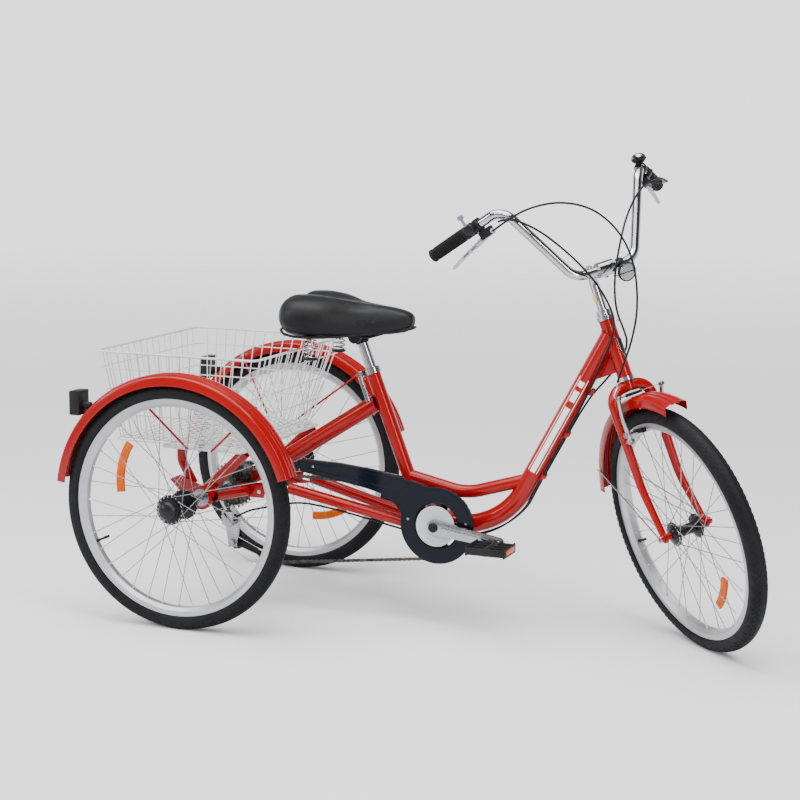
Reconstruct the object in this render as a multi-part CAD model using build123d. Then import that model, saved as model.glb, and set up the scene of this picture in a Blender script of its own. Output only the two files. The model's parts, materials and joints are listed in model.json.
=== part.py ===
from build123d import *
import math
import os

# Adult tricycle. Millimetres. The origin is on the floor under the middle of the rear axle,
# +X is the way it rides, +Y is the rider's left and +Z is up.

# ---- driving dimensions -------------------------------------------------------------------
WHEEL_R = 300.0            # outside of the tyre
TYRE_W = 45.0
TYRE_WALL = 3.5
RIM_R = 265.5              # outer edge of the rim walls
RIM_DEPTH = 20.0
RIM_W = 32.0
RIM_WALL = 2.0
BEAD_SEAT = 7.5            # depth of the tyre well in the rim
SPOKE_R = 1.0
SPOKES = 36
SPOKE_CROSS = 60.0         # degrees from a flange hole to its rim hole
TRACK = 670.0              # between the rear wheels' middle planes
AXLE_R = 8.5
REAR_FLANGE_R = 36.0
REAR_FLANGE_Y = 34.0       # half the distance between a rear hub's flanges
FRONT_FLANGE_R = 29.0
FRONT_FLANGE_Y = 31.0
FLANGE_T = 3.0

HEAD_ANGLE = 69.2          # degrees from the floor
HEAD_TOP = Vector(958, 0, 768)
HEAD_LENGTH = 140.0
HEAD_R = 18.0
FORK_RAKE = 40.0
STEER_AT_REST = -45.0      # the front wheel is turned to the rider's right

SEAT_ANGLE = 68.8
SEAT_TUBE_TOP = Vector(362, 0, 618)
SEAT_TUBE_LENGTH = 415.0
SEAT_TUBE_R = 17.5
POST_R = 13.6
POST_LENGTH = 300.0
POST_OUT = 88.0            # how far the post stands out of the seat tube

BB = Vector(565, 0, 252)   # middle of the crank axle
BB_R = 24.0
BB_W = 70.0
DOWN_R = 22.5
DOWN_BEND_R = 190.0
STEP_R = 16.0
STEP_BEND_R = 150.0
STAY_R = 21.0
CHAINSTAY_R = 14.0
TUBE_WALL = 2.0

CHAIN_Y = -48.0            # the plane that the chain runs in
CHAINRING_R = 85.0
COG_R = 40.6               # the cog that the chain is on
COG_RADII = (57.0, 49.0, 40.6, 35.0, 31.0, 28.5)
COG_STEP = 5.5
COG_T = 2.2
PULLEY_R = 19.0
GUIDE_PULLEY = (12.0, 158.0)
TENSION_PULLEY = (104.0, 128.0)
CHAIN_W = 7.0
CHAIN_H = 8.0
CRANK_LENGTH = 170.0
CRANK_AT_REST = -8.0       # degrees, forward and slightly down
CRANK_IN_Y = 80.0
CRANK_T = 12.0
PEDAL_Y = 150.0
PEDAL_SIZE = (100.0, 84.0, 24.0)
PEDAL_AXLE_R = 5.0

SADDLE_NOSE = 478.0        # front of the saddle
SADDLE_BACK = 124.0
SADDLE_W = 260.0
SADDLE_Z = 704.0           # underside of the saddle
SADDLE_H = 92.0
SADDLE_WALL = 7.0
SADDLE_HOLLOW = 34.0       # depth of the hollow under it

GUARD_Y = -68.0            # outer face of the chain guard
GUARD_R = 95.0
GUARD_HOLE_R = 54.0
GUARD_T = 2.5
GUARD_DEPTH = 15.0

CARRIER_Y = 212.0          # middle of each outer axle bearing
BEARING_R = 22.0
BEARING_W = 8.0
CARRIER_R = 30.0
CARRIER_T = 8.0
SIDE_PLATE_Y = 74.0
SIDE_PLATE_T = 6.0
JOIN_BOLTS_X = (48.0, 93.0)
JOIN_BOLTS_Z = 297.0
BOLT_HOLE_R = 5.0
RACK_X = (-107.0, 120.0)
RACK_HALF_Y = 225.0
RACK_Z = 418.0
RACK_T = 8.0
RACK_TUBE_R = 12.0
RACK_STAY_R = 14.0

BASKET_TOP = (-262.0, 172.0, 262.0)      # back, front and half width at the rim
BASKET_BOTTOM = (-236.0, 104.0, 220.0)
BASKET_Z = (430.0, 655.0)
BASKET_WIRE_R = 1.5
BASKET_RIM_R = 3.0
BASKET_CORNER_R = 26.0
BASKET_BARS = (14, 16)                   # upright wires along each side and each end

FENDER_R = 325.0
FENDER_W = 62.0
FENDER_T = 1.5
FENDER_LIP = 16.0
FENDER_FROM = 18.0
FENDER_TO = 172.0
LAMP_X = -268.0                          # rear lamps, behind the rear fenders
LAMP_Z = 538.0
LAMP_SIZE = (30.0, 48.0, 60.0)
FRONT_FENDER_R = 333.0
FRONT_FENDER_W = 58.0
FRONT_FENDER_FROM = 84.0
FRONT_FENDER_TO = 178.0

STEERER_R = 12.7
QUILL_R = 11.0
BLADE_Y = 53.0             # fork blades beside the tyre
BLADE_TOP_R = 14.0
BLADE_END_R = 8.0
DROPOUT_Y = 57.0
AXLE_FRONT_R = 5.0
V_PIVOT_UP = 236.0         # brake arm pivots, up the steering axis from its foot
V_PIVOT_AHEAD = 20.0
PAD_UP = 252.0
PAD_GAP = 2.0

BAR_R = 11.1
BAR_UP = 634.0             # handlebar clamp, up the steering axis and ahead of it
BAR_AHEAD = 76.0
BAR_LOW_Y = 80.0
BAR_SWEEP = 102.0
BAR_TOP_Y = 186.0
BAR_RISE = 179.0
BAR_REACH = 238.0
BAR_END_Y = 312.0
BAR_END_RISE = 78.0
BAR_BENDS = [44, 46, 46, 44]
GRIP_R = 16.0
GRIP_LENGTH = 110.0
LEVER_AT = 140.0
LEVER_DROP = 30.0
LEVER_T = 8.0
LEVER_OUTLINE = [(7, -5), (7, 5), (-20, 12), (-56, 15), (-112, 25), (-116, 20), (-112, 15),
                 (-56, 5), (-20, -2)]    # back along the grip and down from the pivot
SHIFTER_AT = 119.0
BELL_AT = 186.0
BELL_R = 19.0

RUN = 0.05                 # running clearance of a shaft in its bore
GAP = 0.4                  # clearance between parts that move past each other

CABLE_R = 2.5
FRONT_BRAKE_ROUTE = [(742, -192, 980), (789, -188, 1016), (834, -170, 1038), (886, -143, 1048),
                     (941, -118, 1038), (985, -103, 1010), (1020, -91, 968), (1042, -80, 915),
                     (1050, -70, 855), (1049, -61, 790), (1036, -57, 725), (1018, -60, 668),
                     (1008, -66, 632)]
REAR_BRAKE_ROUTE = [(1052, 165, 1085), (1046, 122, 1098), (1028, 78, 1090), (1011, 36, 1057),
                    (1004, -15, 1010), (1004, -58, 958), (1000, -80, 895), (997, -72, 840),
                    (997, -48, 792), (1004, -10, 750), (1006, 24, 712), (986, 34, 664),
                    (950, 30, 618), (914, 13, 574), (849, 10, 452), (789, 10, 340),
                    (771, 10, 300), (711, 11, 248), (636, 12, 219), (566, 14, 214),
                    (490, 18, 216), (410, 26, 234), (330, 30, 252), (250, 32, 262),
                    (180, 38, 271), (128, 45, 291), (90, 45, 300)]
SHIFT_ROUTE = [(746, -168, 1000), (772, -177, 1008), (806, -176, 1001), (846, -160, 980),
               (884, -145, 950), (920, -130, 917), (953, -112, 878), (973, -90, 842),
               (987, -68, 806), (993, -48, 770), (983, -33, 725), (960, -30, 672),
               (936, -27, 618), (913, -13, 572), (849, -10, 452), (789, -10, 340),
               (771, -10, 300), (711, -11, 248), (636, -13, 219), (566, -18, 213),
               (500, -27, 217), (430, -37, 234), (352, -47, 252), (270, -57, 269),
               (196, -70, 279), (120, -84, 262), (56, -90, 246), (26, -88, 224)]

# ---- frame of reference for the steered parts ---------------------------------------------
HEAD_RAD = math.radians(HEAD_ANGLE)
HEAD_UP = Vector(-math.cos(HEAD_RAD), 0, math.sin(HEAD_RAD))
HEAD_FORWARD = Vector(math.sin(HEAD_RAD), 0, math.cos(HEAD_RAD))
SEAT_RAD = math.radians(SEAT_ANGLE)
SEAT_UP = Vector(-math.cos(SEAT_RAD), 0, math.sin(SEAT_RAD))
STEER_AXIS = Axis(HEAD_TOP, HEAD_UP)
steer_rad = math.radians(STEER_AT_REST)
tyre_half = TYRE_W / 2
wheel_tilt = math.cos(HEAD_RAD) * math.sin(steer_rad)
front_axle_z = tyre_half + (WHEEL_R - tyre_half) * math.sqrt(1 - wheel_tilt ** 2)
foot_z = front_axle_z - FORK_RAKE * math.cos(HEAD_RAD) * math.cos(steer_rad)
foot_s = (foot_z - HEAD_TOP.Z) / HEAD_UP.Z
STEER_FOOT = HEAD_TOP + HEAD_UP * foot_s
FRONT_AXLE = STEER_FOOT + HEAD_FORWARD * FORK_RAKE
parts = {}


def on_head(up, forward=0.0, side=0.0):
    """A point given along the steering axis from its foot, ahead of it and to its left."""
    return STEER_FOOT + HEAD_UP * up + HEAD_FORWARD * forward + Vector(0, side, 0)


def steered(shape):
    """Turn a part built straight ahead to where the handlebar stands at rest."""
    return shape.rotate(STEER_AXIS, STEER_AT_REST)


def steered_point(point):
    """Where a point that is given straight ahead stands at rest."""
    arm = Vector(point) - HEAD_TOP
    return HEAD_TOP + arm.rotate(Axis((0, 0, 0), HEAD_UP), STEER_AT_REST)


def rod(start, end, radius, hole=0.0):
    """A straight round bar or tube between two points."""
    start = Vector(start)
    end = Vector(end)
    plane = Plane(origin=start, z_dir=end - start)
    length = (end - start).length
    bar = extrude(plane * Circle(radius), length)
    if hole:
        bar -= extrude(plane * Circle(hole), length)
    return bar


def bent_tube(points, bends, radius, hole=0.0):
    """A round tube along straight runs joined by arcs."""
    path = FilletPolyline(*points, radius=bends)
    plane = Plane(origin=path @ 0, z_dir=path % 0)
    section = plane * Circle(radius)
    if hole:
        section -= plane * Circle(hole)
    return sweep(section, path=path)


def cross_rod(x, z, y_from, y_to, radius, hole=0.0):
    """A round bar across the tricycle."""
    return rod((x, y_from, z), (x, y_to, z), radius, hole)


def side_plate(outline, y_from, y_to):
    """A flat plate with its outline in the side view."""
    face = Plane.XZ * make_face(Polyline(*outline, close=True))
    return Pos(0, y_to, 0) * extrude(face, y_to - y_from)


def ring(radius, hole, y_from, y_to, x=0.0, z=0.0):
    """A flat ring or disc about a line across the tricycle."""
    return cross_rod(x, z, y_from, y_to, radius, hole)


# ---- wheels, each about its own middle with its axle along Y --------------------------------
def revolved(outline):
    """Turn an outline of (across, radius) points about the axle."""
    return revolve(make_face(Plane.YZ * Polyline(*outline, close=True)), axis=Axis.Y)


def tyre():
    middle_r = WHEEL_R - tyre_half
    bead_in = RIM_W / 2 - RIM_WALL
    outer = Plane.YZ * (Pos(0, middle_r) * Circle(tyre_half))
    inner = Plane.YZ * (Pos(0, middle_r) * Circle(tyre_half - TYRE_WALL))
    seat = Plane.YZ * (Pos(0, RIM_R / 2) * Rectangle(TYRE_W, RIM_R))
    well = Plane.YZ * (Pos(0, middle_r) * Rectangle(2 * bead_in - 2 * TYRE_WALL, 2 * tyre_half - 8))
    beads = [Plane.YZ * (Pos(side * (bead_in - TYRE_WALL / 2), RIM_R - BEAD_SEAT / 2 + 2)
             * Rectangle(TYRE_WALL, BEAD_SEAT + 4)) for side in (-1, 1)]
    section = outer - seat - inner
    foot = outer - seat - well
    foot -= Plane.YZ * (Pos(0, RIM_R + 4 + WHEEL_R / 2) * Rectangle(2 * TYRE_W, WHEEL_R))
    section += foot
    for bead in beads:
        section += bead
    return revolve(section, axis=Axis.Y)


def rim():
    half = RIM_W / 2
    bed = RIM_R - RIM_DEPTH
    well = RIM_R - BEAD_SEAT
    outline = [(-half, RIM_R), (-half, bed + 8), (-8, bed), (8, bed), (half, bed + 8),
               (half, RIM_R), (half - RIM_WALL, RIM_R), (half - RIM_WALL, well),
               (RIM_WALL - half, well), (RIM_WALL - half, RIM_R)]
    box = [(-half + RIM_WALL, well - RIM_WALL), (-half + RIM_WALL, bed + 9), (-7, bed + RIM_WALL),
           (7, bed + RIM_WALL), (half - RIM_WALL, bed + 9), (half - RIM_WALL, well - RIM_WALL)]
    return revolved(outline) - revolved(box)


def spokes(flange_r, flange_y):
    """Crossed spokes from both flanges to the rim, each a separate bar."""
    bars = []
    step = 720.0 / SPOKES
    hole_r = flange_r - 4
    rim_r = RIM_R - RIM_DEPTH + 1.0
    for side in (-1, 1):
        for i in range(SPOKES // 2):
            lead = 1 if i % 2 else -1
            start = math.radians(i * step + (step / 2 if side > 0 else 0))
            end = start + lead * math.radians(SPOKE_CROSS)
            y_hub = side * flange_y + lead * (FLANGE_T / 2 + SPOKE_R - 0.2)
            bars.append(rod((hole_r * math.cos(start), y_hub, hole_r * math.sin(start)),
                            (rim_r * math.cos(end), side * 3.0, rim_r * math.sin(end)), SPOKE_R))
    return bars


def hub(flange_r, flange_y, barrel_r, bore_r, end_y):
    outline = [(-end_y, bore_r), (-end_y, barrel_r - 2), (-flange_y - 4, barrel_r + 3),
               (-flange_y - FLANGE_T / 2, flange_r), (-flange_y + FLANGE_T / 2, flange_r),
               (-flange_y + 6, barrel_r), (flange_y - 6, barrel_r),
               (flange_y - FLANGE_T / 2, flange_r), (flange_y + FLANGE_T / 2, flange_r),
               (flange_y + 4, barrel_r + 3), (end_y, barrel_r - 2), (end_y, bore_r)]
    return revolved(outline)


def rear_hub(outer_side, bore_r):
    """A rear hub with its domed dust cap on the outside."""
    body = hub(REAR_FLANGE_R, REAR_FLANGE_Y, 17.0, bore_r, 42.0)
    cap = [(0, 0), (0, 24), (9, 23), (15, 18), (18, 9), (19, 0)]
    dome = revolved([(outer_side * (42.0 + a), r) for a, r in cap])
    hollow = cross_rod(0, 0, outer_side * 41.0, outer_side * 52.0, AXLE_R + 5)
    return body, dome - hollow


# ---- frame ----------------------------------------------------------------------------------
def build_frame():
    head_base = HEAD_TOP - HEAD_UP * HEAD_LENGTH
    head_solid = rod(head_base, HEAD_TOP, HEAD_R)
    parts["head_tube"] = rod(head_base, HEAD_TOP, HEAD_R, HEAD_R - 2.5)
    cups = []
    for place, way in ((HEAD_TOP, 1), (head_base, -1)):
        up = HEAD_UP * way
        cup = rod(place, place + up * 9, HEAD_R + 3) - rod(place, place + up * 9, 13.5)
        cup += rod(place - up * 8, place, HEAD_R - 2.5) - rod(place - up * 8, place, 13.5)
        cups.append(cup)
    parts["bearing_cups"] = cups

    shell = cross_rod(BB.X, BB.Z, -BB_W / 2, BB_W / 2, BB_R)
    parts["bottom_bracket_shell"] = shell - cross_rod(BB.X, BB.Z, -BB_W / 2, BB_W / 2, BB_R - 4)
    seat_base = SEAT_TUBE_TOP - SEAT_UP * SEAT_TUBE_LENGTH
    seat_solid = rod(seat_base, SEAT_TUBE_TOP, SEAT_TUBE_R)
    parts["seat_tube"] = rod(seat_base, SEAT_TUBE_TOP, SEAT_TUBE_R, POST_R + RUN)

    down_top = Vector(971, 0, 734)
    corner = Vector(712, 0, 248)
    down_points = [down_top, corner, Vector(BB.X, 0, 248)]
    down_solid = bent_tube(down_points, [DOWN_BEND_R], DOWN_R)
    down = bent_tube(down_points, [DOWN_BEND_R], DOWN_R, DOWN_R - TUBE_WALL)
    parts["down_tube"] = down - head_solid - shell

    bridge_end = Vector(BB.X - 66, 0, 248)
    bridge = rod(bridge_end, (BB.X, 0, 248), 19.0, 17.0)
    parts["bottom_bracket_shell"] = [parts["bottom_bracket_shell"], bridge - shell - seat_solid]

    step_points = [(455, 0, 358.5), (616, 0, 324), (795, 0, 377.7)]
    step = bent_tube(step_points, [STEP_BEND_R], STEP_R, STEP_R - TUBE_WALL)
    step = step - seat_solid - down_solid
    parts["step_tube"] = max(step.solids(), key=lambda s: s.volume)

    gusset = side_plate([(930, 622), (1003, 652), (975, 720), (955, 700)], -3, 3)
    parts["head_tube"] = [parts["head_tube"], gusset - head_solid - down_solid]

    stay_start = Vector(376, 0, 531)
    housing = cross_rod(0, 300, -19, 19, 26.0)
    stay = rod(stay_start, (4, 0, 292), STAY_R, STAY_R - TUBE_WALL)
    stay = stay - seat_solid - cross_rod(0, 300, -40, 40, 26.0)
    parts["seat_stay"] = max(stay.solids(), key=lambda s: s.volume)
    parts["axle_bearings"] = [housing - cross_rod(0, 300, -19, 19, AXLE_R + RUN)]

    chainstays = []
    plates = []
    for side in (-1, 1):
        front = Vector(512, side * 26, 236)
        back = Vector(170, side * 69, 311)
        tube = rod(front, back, CHAINSTAY_R, CHAINSTAY_R - TUBE_WALL)
        tube = tube - seat_solid - bridge_solid()
        chainstays.append(max(tube.solids(), key=lambda s: s.volume))
        y_low = side * SIDE_PLATE_Y - SIDE_PLATE_T / 2
        plate = side_plate([(178, 300), (178, 322), (150, 326), (30, 312), (30, 282), (150, 296)],
                           y_low, y_low + SIDE_PLATE_T)
        plate -= rod(front, back + (back - front).normalized() * 30, CHAINSTAY_R)
        for x in JOIN_BOLTS_X:
            plate -= cross_rod(x, JOIN_BOLTS_Z, y_low - 1, y_low + SIDE_PLATE_T + 1,
                               BOLT_HOLE_R)
        plates.append(max(plate.solids(), key=lambda s: s.volume))
    parts["chainstays"] = chainstays + plates


def bridge_solid():
    return rod((BB.X - 66, 0, 248), (BB.X, 0, 248), 19.0)


def build_rear_frame():
    """The bolt-on rear frame: carriers, rack tubes, cross tube and flattened yoke arms."""
    carriers = []
    stays = []
    arms = []
    bolts = []
    bearings = []
    for side in (-1, 1):
        y = side * CARRIER_Y
        y_in = y - CARRIER_T / 2
        y_out = y + CARRIER_T / 2
        carrier = cross_rod(0, 300, y_in, y_out, CARRIER_R)
        carrier += side_plate([(-44, 300), (-86, 340), (-60, 352), (0, 330)], y_in, y_out)
        carrier += side_plate([(0, 330), (34, 336), (44, 322), (28, 296), (0, 290)], y_in, y_out)
        carrier -= cross_rod(0, 300, y_in - 1, y_out + 1, BEARING_R)
        carriers.append(carrier)
        bearings.append(ring(BEARING_R, AXLE_R + RUN, y - BEARING_W / 2, y + BEARING_W / 2, 0, 300))
        inner = side * (CARRIER_Y - CARRIER_T / 2 - RACK_STAY_R)
        above = Pos(0, inner, RACK_Z + 50) * Box(400, 100, 100)
        stays.append(rod((6, inner, 318), (112, inner, RACK_Z), RACK_STAY_R, RACK_STAY_R - 2) - above)
        inner = side * (CARRIER_Y - CARRIER_T / 2 - RACK_TUBE_R)
        stays.append(bent_tube([(-30, inner, 330), (-62, inner, 385), (-62, inner, RACK_Z)], [40],
                               RACK_TUBE_R, RACK_TUBE_R - 2))
        arm_out = side * (SIDE_PLATE_Y + SIDE_PLATE_T / 2)
        arm = side_plate([(106, 282), (106, 314), (36, 314), (36, 282)],
                         min(arm_out, arm_out + side * 6), max(arm_out, arm_out + side * 6))
        for x in JOIN_BOLTS_X:
            arm -= cross_rod(x, JOIN_BOLTS_Z, arm_out - 20, arm_out + 20, BOLT_HOLE_R)
        reach_from = Vector(60, arm_out + side * 14, 298)
        reach_to = Vector(34, side * (CARRIER_Y - CARRIER_T / 2), 305)
        reach = rod(reach_from, reach_to, 13.0, 11.0)
        arms.append(arm)
        arms.append(reach)
        for x in JOIN_BOLTS_X:
            bolts.append(cross_rod(x, JOIN_BOLTS_Z, side * (SIDE_PLATE_Y - 8),
                                   side * (SIDE_PLATE_Y + SIDE_PLATE_T / 2 + 6), BOLT_HOLE_R - 0.1))
    parts["rear_frame"] = carriers + stays + arms
    parts["axle_bearings"] += bearings
    parts["frame_bolts"] = bolts


def build_wheels():
    for name, side in (("right", -1), ("left", 1)):
        place = Pos(0, side * TRACK / 2, WHEEL_R)
        bore = AXLE_R if side < 0 else AXLE_R + RUN
        body, cap = rear_hub(side, bore)
        parts["hub_" + name] = [place * body, place * cap]
        parts["rim_" + name] = place * rim()
        parts["tyre_" + name] = place * tyre()
        parts["spokes_" + name] = [place * bar for bar in spokes(REAR_FLANGE_R, REAR_FLANGE_Y)]
    place = Pos(*FRONT_AXLE)
    parts["rim_front"] = steered(place * rim())
    parts["tyre_front"] = steered(place * tyre())
    front_spokes = spokes(FRONT_FLANGE_R, FRONT_FLANGE_Y)
    parts["spokes_front"] = [steered(place * bar) for bar in front_spokes]
    front_hub = hub(FRONT_FLANGE_R, FRONT_FLANGE_Y, 13.0, 5.0 + RUN, 40.0)
    parts["hub_front"] = steered(place * front_hub)


def build_seat():
    post_top = SEAT_TUBE_TOP + SEAT_UP * POST_OUT
    post_base = post_top - SEAT_UP * POST_LENGTH
    parts["seat_post"] = rod(post_base, post_top, POST_R, POST_R - 2.5)
    band_low = SEAT_TUBE_TOP - SEAT_UP * 16
    band = rod(band_low, band_low + SEAT_UP * 15, SEAT_TUBE_R + 4)
    band -= rod(band_low, band_low + SEAT_UP * 15, SEAT_TUBE_R)
    ear_at = band_low + SEAT_UP * 7.5 - Vector(math.sin(SEAT_RAD), 0, math.cos(SEAT_RAD)) * 27
    ears = Plane(origin=ear_at, x_dir=Vector(0, 1, 0), z_dir=SEAT_UP) * Box(20, 18, 14)
    ears -= rod(band_low, band_low + SEAT_UP * 15, SEAT_TUBE_R)
    pin = rod(ear_at - Vector(0, 17, 0), ear_at + Vector(0, 17, 0), 3.0)
    hole = rod(ear_at - Vector(0, 17, 0), ear_at + Vector(0, 17, 0), 3.0 + RUN)
    parts["seat_clamp"] = [(band + ears) - hole]
    lever_eye = rod(ear_at + Vector(0, -25, 0), ear_at + Vector(0, -11, 0), 8.0)
    eye_low = ear_at + Vector(0, -20.5, 0)
    blade_end = ear_at + Vector(30, -34, -62)
    blade_plane = Plane(origin=eye_low, x_dir=Vector(0, 1, 0), z_dir=blade_end - eye_low)
    blade = extrude(blade_plane * RectangleRounded(8, 12, 3), (blade_end - eye_low).length)
    nut = rod(ear_at + Vector(0, 11, 0), ear_at + Vector(0, 17, 0), 6.0)
    parts["seat_quick_release"] = (lever_eye + blade + pin + nut)

    clamp_z = post_top.Z - 4
    clamp_x = post_top.X
    clamp = cross_rod(clamp_x, clamp_z, -22, 22, 15.0)
    clamp += rod(post_top - SEAT_UP * 24, post_top, POST_R + 3)
    clamp -= rod(post_top - SEAT_UP * 24, post_top, POST_R)
    clamp = clamp - parts["seat_post"]
    washers = [cross_rod(clamp_x, clamp_z, side * 24 if side > 0 else -34, 34 if side > 0 else -24, 17)
               for side in (-1, 1)]
    saddle_clamp = [max(clamp.solids(), key=lambda s: s.volume)] + washers
    rails = []
    for side in (-1, 1):
        points = [(SADDLE_NOSE - 60, side * 8, SADDLE_Z + 8), (clamp_x + 40, side * 29, clamp_z + 1),
                  (clamp_x - 40, side * 29, clamp_z + 1), (SADDLE_BACK + 66, side * 60, clamp_z + 2)]
        rails.append(bent_tube(points, [18, 18], 3.5) - washers[0] - washers[1])
    parts["saddle_frame"] = saddle_clamp + rails
    springs = []
    for side in (-1, 1):
        foot = Vector(SADDLE_BACK + 90, side * 84, SADDLE_Z - 56)
        turns = Helix(pitch=11, height=44, radius=15, center=tuple(foot))
        start = Plane(origin=turns @ 0, z_dir=turns % 0)
        springs.append(sweep(start * Circle(2.2), path=turns))
        springs.append(rod(foot - Vector(0, 0, 9), foot - Vector(0, 0, 3.2), 19))
        springs.append(rod(foot + Vector(0, 0, 47.2), foot + Vector(0, 0, 54), 19))
    parts["saddle_springs"] = springs
    half = SADDLE_W / 2
    length = SADDLE_NOSE - SADDLE_BACK
    left = [(SADDLE_NOSE, 14), (SADDLE_NOSE - 8, 22), (SADDLE_NOSE - 90, 32),
            (SADDLE_NOSE - 150, 50), (SADDLE_NOSE - 0.62 * length, half - 14),
            (SADDLE_NOSE - 0.75 * length, half), (SADDLE_BACK + 36, half - 2),
            (SADDLE_BACK + 8, half - 32), (SADDLE_BACK, 50), (SADDLE_BACK + 6, 12)]
    right = [(x, -y) for x, y in reversed(left)]
    outline = make_face(Polyline(*left, *right, close=True))
    pad = extrude(Pos(0, 0, SADDLE_Z) * outline, SADDLE_H)
    pad -= extrude(Pos(0, 0, SADDLE_Z - 1) * offset(outline, amount=-SADDLE_WALL), SADDLE_HOLLOW + 1)
    slope = side_plate([(SADDLE_NOSE + 1, SADDLE_Z + 40), (SADDLE_NOSE - 130, SADDLE_Z + 62),
                        (SADDLE_BACK + 90, SADDLE_Z + SADDLE_H + 1), (SADDLE_NOSE + 1, SADDLE_Z + 200)],
                       -half, half)
    parts["saddle"] = pad - slope


def build_crank():
    for_bearing = cross_rod(BB.X, BB.Z, -BB_W / 2, BB_W / 2, 8.5 + RUN)
    cups = []
    for side in (-1, 1):
        low = min(side * BB_W / 2, side * (BB_W / 2 - 14))
        cups.append(cross_rod(BB.X, BB.Z, low, low + 14, BB_R - 4) - for_bearing)
    parts["bearing_cups"] += cups
    axle = cross_rod(BB.X, BB.Z, -CRANK_IN_Y - 4, CRANK_IN_Y + 4, 8.5)
    arms = []
    pedals = []
    for side in (-1, 1):
        angle = math.radians(CRANK_AT_REST + (0 if side < 0 else 180))
        reach = Vector(math.cos(angle), 0, math.sin(angle))
        end = BB + reach * CRANK_LENGTH
        y_low = min(side * CRANK_IN_Y, side * (CRANK_IN_Y + CRANK_T))
        boss = cross_rod(BB.X, BB.Z, y_low, y_low + CRANK_T, 18)
        boss += cross_rod(end.X, end.Z, y_low, y_low + CRANK_T, 13)
        across = Vector(-reach.Z, 0, reach.X)
        outline = [BB + across * 15, end + across * 11, end - across * 11, BB - across * 15]
        boss += side_plate([(p.X, p.Z) for p in outline], y_low + 1, y_low + CRANK_T - 1)
        boss -= axle
        axle_from = side * (CRANK_IN_Y + CRANK_T)
        pedal_axle = cross_rod(end.X, end.Z, axle_from, side * (PEDAL_Y + 34), PEDAL_AXLE_R)
        arms.append(boss + pedal_axle)
        size_x, size_y, size_z = PEDAL_SIZE
        body = Pos(end.X, side * PEDAL_Y, end.Z) * Box(size_x, size_y, size_z)
        for way in (-1, 1):
            window = Box(size_x / 2 - 22, size_y - 20, size_z + 2)
            body -= Pos(end.X + way * (size_x / 4 + 3), side * PEDAL_Y, end.Z) * window
        body -= cross_rod(end.X, end.Z, axle_from - side * 1, side * (PEDAL_Y + 35),
                          PEDAL_AXLE_R + RUN)
        pedals.append(body.rotate(Axis((end.X, 0, end.Z), (0, 1, 0)), -CRANK_AT_REST))
    parts["cranks"] = arms + [axle]
    parts["pedal_right"] = pedals[0]
    parts["pedal_left"] = pedals[1]
    ring_low = CHAIN_Y - 1.2
    chainring = ring(CHAINRING_R - 4.5, 50, ring_low, ring_low + 2.4, BB.X, BB.Z)
    spider = ring(53, 8.5, -CRANK_IN_Y + 2, -CRANK_IN_Y + 4.5, BB.X, BB.Z)
    spider += ring(34, 28, -CRANK_IN_Y + 4.5, ring_low, BB.X, BB.Z)
    spider += ring(52, 28, ring_low - 2.5, ring_low, BB.X, BB.Z)
    parts["chainring"] = [chainring, spider]


def build_guard():
    y_in = GUARD_Y + GUARD_T
    face_outline = [(200, 386), (306, 384), (470, 364), (545, 344), (640, 252), (565, 200),
                    (476, 262), (455, 297), (417, 319), (349, 333), (200, 356)]
    disc = cross_rod(BB.X, BB.Z, GUARD_Y, y_in, GUARD_R)
    face = disc + side_plate(face_outline, GUARD_Y, y_in)
    hole = cross_rod(BB.X, BB.Z, GUARD_Y - 40, GUARD_Y + 40, GUARD_HOLE_R + 1.5)
    arm_lip = side_plate([(200, 386), (306, 384), (470, 364), (520, 352), (519, 349.5),
                          (470, 361.5), (306, 381.5), (200, 383.5)], y_in, y_in + GUARD_DEPTH)
    rim_lip = ring(GUARD_R, GUARD_R - GUARD_T, y_in, y_in + GUARD_DEPTH, BB.X, BB.Z)
    behind = Pos(BB.X - 100, 0, BB.Z - 50) * Box(200, 400, 282)
    parts["chain_guard"] = (face + arm_lip + (rim_lip - behind)) - hole


def tangent_run(first, second):
    """The straight run of a belt from one wheel to the next; each is (x, z, radius, turn)."""
    x1, z1, r1, turn1 = first
    x2, z2, r2, turn2 = second
    span = math.hypot(x2 - x1, z2 - z1)
    heading = math.atan2(z2 - z1, x2 - x1)
    lean = math.asin((turn1 * r1 - turn2 * r2) / span)
    normal = heading - math.pi / 2 + lean
    unit = (math.cos(normal), math.sin(normal))
    start = (x1 + unit[0] * r1 * turn1, z1 + unit[1] * r1 * turn1)
    end = (x2 + unit[0] * r2 * turn2, z2 + unit[1] * r2 * turn2)
    return start, end


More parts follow.
